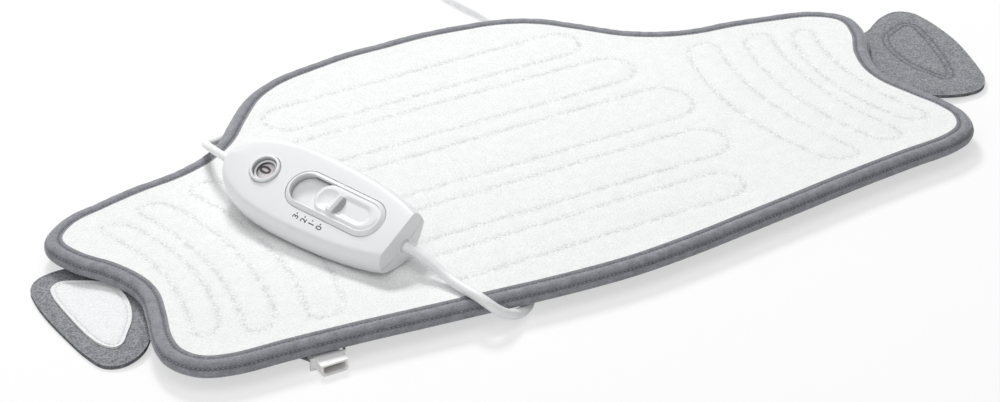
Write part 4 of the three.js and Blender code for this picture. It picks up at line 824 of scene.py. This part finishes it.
# A tab is a slab whose underside runs from the surface up to the pad's back, with its hook patch and
# the thread that holds it
def makeTab(place):
    isLeft = place["side"] == "left"
    lift = 0 if isLeft else tab["patchThickness"] + tab["gap"]
    inner = padBack - tab["gap"] - tab["thickness"]
    sign = -1 if isLeft else 1
    origin = np.array([sign * (tab["waistShare"] * halfX + bindingWidth + place["reach"]),
                       place["heightShare"] * halfY])
    turn = math.radians(place["turn"])
    mirror = 1 if isLeft else -1

    # Heights in the tab's own plan, with x running in from its outer edge
    def underside(p):
        rise = smoothStep((p[:, 0] - tab["droopTo"] * 0.6) / (tab["droopFrom"] - tab["droopTo"] * 0.6))
        return lift + (inner - lift) * rise

    # From that plan to the pad's: mirrored on the right, turned, and moved to the tab's place
    def toPad(points):
        x, y = points[:, 0] * mirror, points[:, 1]
        moved = np.array(points, float)
        moved[:, 0] = origin[0] + x * math.cos(turn) - y * math.sin(turn)
        moved[:, 1] = origin[1] + x * math.sin(turn) + y * math.cos(turn)
        return moved

    patchLine = tabLine(patchShares, place["length"], tab["patchDepth"], tab["patchOffset"], 1.5)
    patchIn = leftNormals(patchLine)
    if isLeft:
        sewn = [patchLine + patchIn * tab["seamInset"]]
    else:
        sewn = [patchLine, patchLine + patchIn * tab["secondSeam"]]

    edge = tabLine(place["shares"], place["length"], place["depth"], 0, 1.8)

    # Underside plus thickness and a soft swell, less the sewn grooves and a thinning at the edge
    def upperside(p):
        near = np.min([segmentDistance(p, line, closed=True) for line in sewn], axis=0)
        seamDepth = 0.3 if isLeft else 0.6
        soft = 0.25 * np.sin(p[:, 0] / 7 + 1.1 * np.sin(p[:, 1] / 11)) + 0.2 * np.sin(p[:, 1] / 9 + 1)
        thin = 1.1 * np.exp(-((segmentDistance(p, edge, closed=True) / 2.2) ** 2))
        seamed = seamDepth * np.exp(-((near / 1.2) ** 2))
        return underside(p) + tab["thickness"] + 0.2 + 0.5 * soft - seamed - thin

    points, faces = slab(edge, 1.9, 5, upperside, underside, 1.5)
    # Painted shade along the right tab's sewn grooves, none on the left
    seam = np.min([segmentDistance(points[:, :2], line, closed=True) for line in sewn], axis=0)
    seam = np.exp(-((seam / 0.9) ** 2)) * (0 if isLeft else 1)
    faces = faces if isLeft else [face[::-1] for face in faces]
    flap = meshObject(f"{place['side']}_tab_felt", toFrame(toPad(points)), faces, 60)
    setAttribute(flap, "seam", seam)
    dress(flap, materials["felt"], "pad", "grey_fabric", f"{place['side']}_tab")

    # Hook patch: on top of the left tab, under the right one
    if isLeft:
        def patchTop(p):
            inward = segmentDistance(p, patchLine, closed=True)
            sunk = 0.45 * np.exp(-(((inward - tab["threadInset"]) / 0.8) ** 2))
            return upperside(p) + tab["patchThickness"] + 0.2 - sunk

        def patchUnder(p):
            return upperside(p) - 0.1
    else:
        def patchTop(p):
            return underside(p) + 0.1

        def patchUnder(p):
            return underside(p) - tab["patchThickness"] - 0.2
    points, faces = slab(patchLine, 1.4, 3, patchTop, patchUnder, 0.5, 5)
    near = segmentDistance(points[:, :2], patchLine, closed=True)
    faces = faces if isLeft else [face[::-1] for face in faces]
    patch = meshObject(f"{place['side']}_patch_pile", toFrame(toPad(points)), faces, 60)
    # Painted shade along the line of the thread
    setAttribute(patch, "seam", np.exp(-(((near - tab["threadInset"]) / 0.7) ** 2)))
    dress(patch, materials["hook"], "pad", "hook_fabric", f"{place['side']}_hook_patch")

    # Thread along the sewn lines
    for number, line in enumerate([patchLine + patchIn * tab["threadInset"]] if isLeft else sewn):
        height = patchTop(line) if isLeft else upperside(line)
        ups = np.tile([0, 0, 1.0], (len(line), 1))
        spatial = toPad(atHeight(line, height))
        stitches(f"{place['side']}_tab_stitches_{number + 1}", spatial, ups, tabStitch,
                 tab["threadRadius"], materials["paleThread" if isLeft else "thread"])


for place in tabPlaces:
    makeTab(place)
report("tabs")


# Controller, drawn in its own millimetres

shape = {"flare": 4.3, "crown": 0.7, "topBulge": 1, "midBulge": 2.3, "keelSlope": 27.1, "keelShare": 0.93}
keelFall = math.tan(math.radians(shape["keelSlope"])) * shape["keelShare"]
faceShares = [
    (0, 0.655), (0.06, 0.755), (0.14, 0.845), (0.25, 0.93), (0.37, 0.98), (0.5, 1), (0.63, 0.99),
    (0.75, 0.925), (0.84, 0.8), (0.915, 0.615), (0.97, 0.37), (1, 0.1),
]
sidePoints = np.array([(-s * controllerLength, w * controllerHalfWidth) for s, w in faceShares])
tip = np.array([[-controllerLength - 0.4, 0]])
bothSides = np.vstack([sidePoints, tip, sidePoints[::-1] * (1, -1)])
planSteps = 9
planLine = smoothCurve(bothSides, planSteps)[: len(sidePoints) * planSteps + 1]
planNormals = np.gradient(planLine, axis=0)
planNormals = np.stack([planNormals[:, 1], -planNormals[:, 0]], axis=1)
planNormals *= np.sign((planNormals * (planLine - (-60, 0))).sum(1))[:, None]
planNormals[-1] = (-1, 0)
planNormals[:, 0] *= smoothStep(-planLine[:, 0] / 10)
planNormals /= np.linalg.norm(planNormals, axis=1)[:, None]
# The wall from the parting line up and over the edge: out from the face's outline, and height
wallProfile = smoothCurve([
    (4.3, -wallHeight + 0.15), (4.15, -9.5), (3.8, -7.4), (3.1, -5.2), (2.1, -3.2), (1.1, -1.75),
    (0.1, -0.8), (-1.2, -0.22), (-2.8, 0.03),
], 3)


# A half shell's skin: rows along the outline on one side, over the middle, and back on the other
def skin(name, rows):
    columns = len(planLine)
    far = [row * (1, -1, 1) for row in rows[:-1][::-1]]
    every = rows + far
    points = np.vstack(every)
    faces = gridFaces(len(every), columns, closed=False).tolist()
    first = np.stack([row[0] for row in every])
    # the wide end's wall, filled in its own plane and bulged outwards
    low = first[0, 2]
    widest = abs(first[0, 1])
    bottom = np.linspace(widest, -widest, 24)[1:-1]
    loop = np.vstack([first[:, 1:], np.column_stack([-bottom, np.full(len(bottom), low)])])
    flat, triangles = filled(loop, 2.4)
    wall = np.column_stack([np.zeros(len(flat)), flat])
    total = len(points)
    faces += (triangles + total).tolist()
    points = np.vstack([points, wall])
    # the bulge falls with the square of y, is greatest at the parting line, and fades with x
    depth = -points[:, 2] / wallHeight
    share = np.clip(depth, 0, 1) - 0.3 * np.clip(depth - 1, 0, 1)
    bulge = shape["topBulge"] + (shape["midBulge"] - shape["topBulge"]) * share
    atEnd = (1 + points[:, 0] / 8).clip(0, 1)
    points[:, 0] += bulge * (1 - np.clip(points[:, 1] / widest, -1, 1) ** 2) * atEnd
    mesh = bpy.data.meshes.new(name)
    mesh.from_pydata(points.tolist(), [], faces)
    work = bmesh.new()
    work.from_mesh(mesh)
    bmesh.ops.remove_doubles(work, verts=work.verts, dist=0.02)
    bmesh.ops.dissolve_degenerate(work, edges=work.edges, dist=0.005)
    bmesh.ops.recalc_face_normals(work, faces=work.faces)
    work.to_mesh(mesh)
    work.free()
    return linked(name, mesh)


# Rounds the end wall's corners and gives the skin its thickness, inwards
def thicken(obj, corner, thickness):
    bevel = obj.modifiers.new("corner", "BEVEL")
    bevel.width = corner
    bevel.segments = 3
    bevel.limit_method = "ANGLE"
    bevel.angle_limit = math.radians(48)
    applyModifiers(obj)
    solid = obj.modifiers.new("wall", "SOLIDIFY")
    solid.thickness = thickness
    solid.offset = -1
    solid.use_even_offset = True
    applyModifiers(obj)


# Two half circles joined by straights
def obround(left, right, radius, count=24):
    turn = np.linspace(-math.pi / 2, math.pi / 2, count)
    cap = np.stack([np.cos(turn), np.sin(turn)], axis=1) * radius
    return np.vstack([cap + (right, 0), -cap + (left, 0)])


# Four corners, anticlockwise
def rectangle(left, right, near, far):
    return np.array([(left, near), (right, near), (right, far), (left, far)])


# Centre plus radius * (cos turn, sin turn)
def circle(x, y, radius, count=48):
    turn = np.arange(count) / count * 2 * math.pi
    return np.stack([x + radius * np.cos(turn), y + radius * np.sin(turn)], axis=1)


# A solid between two matching rings, with flat ends
def betweenRings(name, first, last):
    count = len(first)
    ends = [list(range(count))[::-1], list(range(count, 2 * count))]
    return meshObject(name, np.vstack([first, last]), gridFaces(2, count).tolist() + ends)


# A plan line carried straight up
def prism(name, line, low, high):
    return betweenRings(name, atHeight(line, low), atHeight(line, high))


# A rod along x, at the height of the leads
def leadHole(radius, start, end):
    ring = circle(0, 0, radius, 32)
    rings = [np.column_stack([np.full(len(ring), x), ring[:, 0], ring[:, 1] - wallHeight])
             for x in (start, end)]
    return betweenRings("cutter", *rings)


# The two holes by which the leads enter the controller
def leadHoles():
    return [leadHole(cordHoleRadius["pad"], -20, 20),
            leadHole(cordHoleRadius["mains"], -controllerLength - 20, -controllerLength + 8)]


# Puts a mesh drawn in the controller's millimetres into the frame
def settle(obj, sharpAngle=35):
    moveVertices(obj, fromController)
    smoothShade(obj, sharpAngle)
    return obj


# Profile carried round a closed line: (out from the line, height) for each point of the profile
def swept(name, line, outline2d, sharpAngle=40):
    normals = -leftNormals(line)
    rows = [atHeight(line + normals * out, up) for out, up in outline2d]
    return meshObject(name, np.vstack(rows), gridFaces(len(rows), len(line), ringed=True), sharpAngle)


# The face's crown: highest along the middle, falling with the square of y to the face's edge
def faceHeight(x, y):
    half = np.interp(-x, -planLine[:, 0], planLine[:, 1]) - 2.8
    return shape["crown"] * (1 - np.clip(y / half, -1, 1) ** 2) + 0.03


# Upper shell
upperRows = [atHeight(planLine + planNormals * out, up) for out, up in wallProfile]
inset = planLine + planNormals * wallProfile[-1, 0]
for share in np.linspace(1, 0, 10)[1:]:
    height = wallProfile[-1, 1] + (shape["crown"] - wallProfile[-1, 1]) * (1 - share**2)
    upperRows.append(atHeight(inset * (1, share), height))
upper = skin("upper_case", upperRows)
thicken(upper, 0.75, shellWall)
cordHoleRadius = {"pad": 4.1, "mains": 3.8}
cut(upper,
    prism("cutter", obround(slot["left"], slot["right"], slot["radius"] + 3.5), -8, 8),
    prism("cutter", circle(window["x"], 0, window["ringRadius"] + 0.8), -8, 8), *leadHoles())
dress(settle(upper), materials["shell"], "pad", "white_plastic", "upper_shell")

# Lower shell: from the parting line to the keel, y and depth as powers of cosine and sine
foot = planLine + planNormals * shape["flare"]
spine = np.column_stack([np.clip(foot[:, 0], -controllerLength + 9, None), np.zeros(len(foot))])
reach = np.linalg.norm(foot - spine, axis=1)
hullPower = 2 / 1.3
lowerRows = [atHeight(foot, -wallHeight - 0.15)]
for turn in np.linspace(0, math.pi / 2, 15):
    across = math.cos(turn) ** hullPower
    down = math.sin(turn) ** hullPower
    height = -wallHeight - hullLip - reach * keelFall * down
    lowerRows.append(atHeight(spine + (foot - spine) * across, height))
lower = skin("lower_case", lowerRows)
thicken(lower, 0.6, shellWall)
screwShares = [(-0.094, 0.43), (-0.094, -0.43), (-0.9, -0.31)]
screwHole = {"radius": 2.95, "low": -40, "high": -16}
screwHoles = [prism("cutter", circle(x * controllerLength, y * controllerHalfWidth, screwHole["radius"], 24),
                    screwHole["low"], screwHole["high"]) for x, y in screwShares]
cut(lower, *screwHoles, *leadHoles())
dress(settle(lower), materials["shell"], "pad", "white_plastic", "lower_shell")
report("shells")

# Rim of the slot, with its inner wall and floor
rimLine = obround(slot["left"], slot["right"], slot["radius"], 28)
rim = swept("slot_rim", rimLine, [
    (0, slot["floor"] - 0.3), (0, 2.2), (0.1, 2.42), (0.3, 2.52), (0.6, 2.48), (0.95, 2.2), (1.8, 1.35),
    (2.6, 0.75), (2.95, 0.4), (3.02, 0.1), (3.02, -1.2), (3.6, -1.3), (3.6, -1.7), (1.2, -1.7),
    (1.1, slot["floor"] - 0.3),
])
# Painted shade on the slot's inner wall, darker towards its floor
heights = np.array([vertex.co.z for vertex in rim.data.vertices])
inside = np.arange(len(heights)) < 2 * len(rimLine)
setAttribute(rim, "shade", np.where(inside, smoothStep((1.8 - heights) / 4.5), 0))
dress(settle(rim), materials["shell"], "pad", "white_plastic")
points, faces = slab(obround(slot["left"], slot["right"], slot["radius"] - 0.3, 28), 3, 6,
                     flatAt(slot["floor"]), flatAt(slot["floor"] - slot["floorThickness"]), 0.2, 3)
slotFloor = meshObject("slot_floor", points, faces)
leg = {"x": slot["right"] - 12, "length": 5, "width": 3.2}
legRoom = 0.3
legPath = rectangle(leg["x"] - leg["length"] / 2 - travel - legRoom, leg["x"] + leg["length"] / 2 + legRoom,
                    -leg["width"] / 2 - legRoom, leg["width"] / 2 + legRoom)
cut(slotFloor, prism("cutter", legPath, -9, 0))
dress(settle(slotFloor), materials["shell"], "pad", "white_plastic")
# A black strip on the slot's far inner wall: painted shade standing for the dark inside of a slit
slit = prism("guide_slit_shade", rectangle(-74.1, -61.5, 10.5, 10.72), -1.2, -0.4)
dress(settle(slit), materials["black"], "pad", "black_plastic")

# Window ring: raised wall, ledge and bore
ringLine = circle(window["x"], 0, window["openingRadius"], 64)
ledgeIn = window["ledgeRadius"] - window["openingRadius"]
ringOut = window["ringRadius"] - window["openingRadius"]
ring = swept("window_ring", ringLine, [
    (0, -2.4), (0, window["ledge"] - 0.25), (0.15, window["ledge"]), (ledgeIn - 0.45, window["ledge"]),
    (ledgeIn - 0.4, window["ledge"] - 0.6), (ledgeIn, window["ledge"] - 0.6),
    (ledgeIn, window["ledge"] + 0.9), (ledgeIn + 0.05, 1.9), (ledgeIn + 0.3, 2.38),
    (ledgeIn + 0.8, window["ringTop"]), (ringOut - 0.5, 2.4), (ringOut - 0.12, 2.1), (ringOut, 1.6),
    (ringOut + 0.08, 0.4), (ringOut + 0.08, -1.2), (ringOut + 0.9, -1.3), (ringOut + 0.9, -1.7),
    (ringOut - 1.5, -1.7), (1.2, -2.4),
])
# Painted shade on the ring's inner wall and in the groove round its ledge
ringShade = np.zeros(len(ring.data.vertices))
for row, shade in ((4, 1), (5, 1), (6, 0.8), (7, 0.3)):
    ringShade[row * len(ringLine) : (row + 1) * len(ringLine)] = shade
setAttribute(ring, "shade", ringShade)
dress(settle(ring), materials["shell"], "pad", "white_plastic")
# A dark liner round the bore: painted shade standing for the shade inside it
bore = swept("window_bore", ringLine, [(-0.15, -2.45), (-0.15, -0.85), (0.05, -0.7), (0.05, -2.45)])
dress(settle(bore), materials["bore"], "pad", "grey_plastic")


# Slide switch

knob = {"clearance": 0.25, "spacing": 0.38, "coarse": 4, "top": 2.2, "bottom": -2.9,
        "farFall": 0.3, "nearFall": 1.7, "edgeReach": 2.7,
        "bowlX": -54.4, "bowlY": -0.5, "bowlRadius": 7.4, "bowlDepth": 1.9,
        "scoopLeft": -42, "scoopRight": slot["right"] - 2.2, "scoopRadius": 8, "scoopDepth": 1.3}
rib = {"x": -46.2, "near": -7.7, "far": 5.1, "top": 5.2, "halfTop": 1.1, "fall": 1, "leftReach": 4.6,
       "flankNear": 0.6, "flankMiddle": 2.2, "hook": [(-47, -6.6), (-50, -6)], "hookHalf": 1.9}
knobLine = obround(slot["left"] + travel, slot["right"], slot["radius"] - knob["clearance"], 28)


# Pillow whose edge rounds down, with a bowl to the left of the thumb rib and a scoop to its right:
# bowl = depth * (1 - |x|^2.6 - |y|^2.6), rib = its own slopes left and right of its top
# Its second value is painted shade on the thumb rib
def knobHeight(p):
    x, y = p[:, 0], p[:, 1]
    edge = segmentDistance(p, knobLine, closed=True)
    fall = knob["farFall"] + (knob["nearFall"] - knob["farFall"]) * smoothStep((5 - y) / 9)
    height = knob["top"] - fall * np.clip(1 - edge / knob["edgeReach"], 0, 1) ** 1.6
    bowl = np.abs((x - knob["bowlX"]) / knob["bowlRadius"]) ** 2.6
    bowl += np.abs((y - knob["bowlY"]) / knob["bowlRadius"]) ** 2.6
    height -= knob["bowlDepth"] * np.clip(1 - bowl, 0, 1)
    spine = np.array([(knob["scoopLeft"], 0), (knob["scoopRight"], 0)], float)
    scoop = smoothStep((1 - segmentDistance(p, spine) / knob["scoopRadius"]) / 0.45)
    height -= knob["scoopDepth"] * scoop * smoothStep((x - rib["x"]) / 1.5)
    along = np.clip((y - rib["near"]) / (rib["far"] - rib["near"]), 0, 1)
    out = x - rib["x"] - 0.8 * (along - 0.5)
    flank = rib["flankNear"] + rib["flankMiddle"] * (1 - (2 * along - 1) ** 2)
    slopes = np.where(out > 0, np.clip(1 - (out - rib["halfTop"]) / flank, 0, 1),
                      np.clip(1 + (out + rib["halfTop"]) / rib["leftReach"], 0, 1) ** 2.2)
    tops = rib["top"] - rib["fall"] * np.clip(out / rib["halfTop"] + 1, 0, 2) / 2
    ends = smoothStep((y - rib["near"] + 0.5) / 0.8) * smoothStep((rib["far"] + 0.6 - y) / 0.9)
    height += (tops - height) * slopes * ends
    hook = smoothStep((rib["hookHalf"] - segmentDistance(p, np.array(rib["hook"]))) / 0.8)
    # Painted shade: faint on the rib's top strip, strong on its right flank
    flankShade = 0.2 * ends * (np.abs(out) < rib["halfTop"])
    onFlank = smoothStep((out - rib["halfTop"] + 0.2) / 0.5) * (out < rib["halfTop"] + flank)
    flankShade += 0.85 * ends * onFlank
    return height + np.clip(rib["top"] - 0.5 - height, 0, None) * hook, flankShade


points, faces = slab(knobLine, knob["spacing"], knob["coarse"], lambda p: knobHeight(p)[0],
                     flatAt(knob["bottom"]), 0.2, 5)
knobPlate = meshObject("knob_plate", points, faces)
# The knob's painted shade, on its upper side only
setAttribute(knobPlate, "shade", knobHeight(points[:, :2])[1] * (points[:, 2] > 0))
dress(settle(knobPlate, 60), materials["shell"], "slider", "white_plastic", "slider_knob")
stemLine = rectangle(leg["x"] - leg["length"] / 2, leg["x"] + leg["length"] / 2,
                     -leg["width"] / 2, leg["width"] / 2)
stem = prism("knob_stem", stemLine, slot["floor"] - 2.7, knob["bottom"] + 0.2)
dress(settle(stem), materials["shell"], "slider", "white_plastic")
report("slide switch")


# Digits: beside the slot, and on the disc under the window

# A digit drawn flat round the origin, scaled to its height and given a thickness
def digitMesh(name, text, height, thickness, bold=0):
    font = bpy.data.curves.new(name, "FONT")
    font.body = text
    font.align_x = "CENTER"
    font.align_y = "CENTER"
    font.size = 1
    font.offset = bold
    font.resolution_u = 6
    source = linked(name, font)
    graph = bpy.context.evaluated_depsgraph_get()
    mesh = bpy.data.meshes.new_from_object(source.evaluated_get(graph))
    bpy.data.objects.remove(source)
    obj = linked(name, mesh)

    # Middle of its box at the origin, its height scaled to the one asked for
    def centred(points):
        low, high = points.min(0), points.max(0)
        return (points - (low + high) / 2) * (height / (high[1] - low[1])) * (1, 1, 0)

    moveVertices(obj, centred)
    solid = obj.modifiers.new("ink", "SOLIDIFY")
    solid.thickness = thickness
    solid.offset = 1
    applyModifiers(obj)
    return obj


# Turns a flat piece, moves it to a place and lays it on a surface
def placeFlat(obj, x, y, turn, heightAt):
    # Turned about z, moved to x and y, and lifted by the surface's height there
    def placed(points):
        acrossX = x + points[:, 0] * math.cos(turn) - points[:, 1] * math.sin(turn)
        acrossY = y + points[:, 0] * math.sin(turn) + points[:, 1] * math.cos(turn)
        return np.column_stack([acrossX, acrossY, points[:, 2] + heightAt(acrossX, acrossY)])

    moveVertices(obj, placed)


scale = {"x": (-66.9, -60.4, -54.1, -47.9), "digitY": -19.2, "dotX": -0.4, "dotY": -16.8, "height": 4.3,
         "dot": 0.5}
for x, text in zip(scale["x"], "3210"):
    digit = digitMesh(f"scale_digit_{text}", text, scale["height"], 0.05, 0.01)
    placeFlat(digit, x, scale["digitY"], math.pi / 2, faceHeight)
    dress(settle(digit), materials["ink"], "pad", "black_plastic")
    dotX = x + scale["dotX"]
    level = float(faceHeight(np.array([dotX]), np.array([scale["dotY"]]))[0])
    dot = prism(f"scale_dot_{text}", circle(dotX, scale["dotY"], scale["dot"], 16), level - 0.1, level + 0.06)
    dress(settle(dot), materials["ink"], "pad", "black_plastic")

shown = {"x": -109.6, "y": 0.9, "size": 8.4, "bold": 0.025, "step": math.pi / 3}
arm = np.array([shown["x"] - disc["x"], shown["y"]])
for number, text in enumerate("0123"):
    back = -number * shown["step"]
    placeX = arm[0] * math.cos(back) - arm[1] * math.sin(back)
    placeY = arm[0] * math.sin(back) + arm[1] * math.cos(back)
    digit = digitMesh(f"window_digit_{text}", text, shown["size"], 0.08, shown["bold"])
    placeFlat(digit, disc["x"] + placeX, placeY, back + math.pi / 2, lambda x, y: disc["top"] + 0.02)
    dress(settle(digit), materials["windowInk"], "disc", "black_plastic")
report("digits")


# CAD nodes that stay: small bevels and their materials

kept = {
    "socket": ["socket_housing", "coupling_plug"],
    "windowFace": ["number_disc"],
    "greyPlastic": ["socket_insert", "slider_carriage", "suppression_capacitor"],
    "brass": ["socket_pin_1", "socket_pin_2", "socket_pin_3", "socket_pin_4", "heating_wire",
              "contact_wiper"],
    "steel": ["overheat_cutout", "housing_screw_1", "housing_screw_2", "housing_screw_3",
              "carriage_screw", "plug_pin_1", "plug_pin_2"],
    "board": ["control_board"],
    "red": ["indicator_led"],
    "clear": ["display_lens", "fuse"],
    "black": ["triac", "coil_tie"],
    "cord": ["pad_cord_grip", "mains_cord_grip", "coupling_relief", "plug_relief", "plug_body"],
    "felt": ["socket_gusset_left", "socket_gusset_right"],
    "wadding": ["upper_wadding", "lower_wadding", "wire_carrier"],
}
bevels = {"socket_housing": 0.35, "coupling_plug": 0.8, "socket_gusset_left": 0.4, "socket_gusset_right": 0.4,
          "coil_tie": 0.2, "pad_cord_grip": 0.3, "mains_cord_grip": 0.4, "plug_body": 0.5, "plug_pin_1": 0.5,
          "plug_pin_2": 0.5, "socket_insert": 0.2}
for label, names in kept.items():
    for name in names:
        node = nodes[name]
        node.data.materials.clear()
        node.data.materials.append(materials[label])
        if name in bevels:
            bevel = node.modifiers.new("edge", "BEVEL")
            bevel.width = bevels[name] * mm
            bevel.segments = 3
            bevel.limit_method = "ANGLE"
            bevel.angle_limit = math.radians(35)
report("kept nodes")


# Floor and light

studio = {"floorHalf": 6, "floorDrop": 0.0002, "floorGlow": 0.6, "world": 0.3}
floorMaterial = surfaceMaterial("floor", (0.96, 0.96, 0.96), (0.97, 0.97, 0.97), 0.9, floorGrain)
# Towards the camera the floor gives part of its white itself, so its shadows stay light
floorNodes, floorLinks = floorMaterial.node_tree.nodes, floorMaterial.node_tree.links
glow = floorNodes.new("ShaderNodeEmission")
path = floorNodes.new("ShaderNodeLightPath")
share = floorNodes.new("ShaderNodeMath")
share.operation = "MULTIPLY"
share.inputs[1].default_value = studio["floorGlow"]
blend = floorNodes.new("ShaderNodeMixShader")
floorLinks.new(path.outputs["Is Camera Ray"], share.inputs[0])
floorLinks.new(share.outputs["Value"], blend.inputs[0])
floorLinks.new(floorNodes["Principled BSDF"].outputs["BSDF"], blend.inputs[1])
floorLinks.new(glow.outputs["Emission"], blend.inputs[2])
floorLinks.new(blend.outputs["Shader"], floorNodes["Material Output"].inputs["Surface"])
half = studio["floorHalf"]
floorPoints = atHeight(rectangle(-half, half, -half, half), -studio["floorDrop"])
floor = meshObject("floor", floorPoints, [(0, 1, 2, 3)])
floor.data.materials.append(floorMaterial)

scene = bpy.context.scene
scene.view_settings.view_transform = "Standard"
world = bpy.data.worlds.new("studio")
world.use_nodes = True
background = world.node_tree.nodes["Background"]
background.inputs["Color"].default_value = (1, 1, 1, 1)
background.inputs["Strength"].default_value = studio["world"]
scene.world = world
lights = [
    {"name": "key", "place": (0.31, 1.36, 1.69), "size": 0.55, "power": 31},
    {"name": "top", "place": (-0.4, -0.2, 2.1), "size": 1.6, "power": 11.5},
    {"name": "fill", "place": (-1.5, -0.7, 1.12), "size": 1.4, "power": 5},
]
for light in lights:
    lamp = bpy.data.lights.new(light["name"], "AREA")
    lamp.size = light["size"]
    lamp.energy = light["power"]
    holder = linked(light["name"], lamp)
    holder.location = light["place"]
    holder.rotation_euler = (-Vector(light["place"])).to_track_quat("-Z", "Y").to_euler()

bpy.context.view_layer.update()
report("scene")
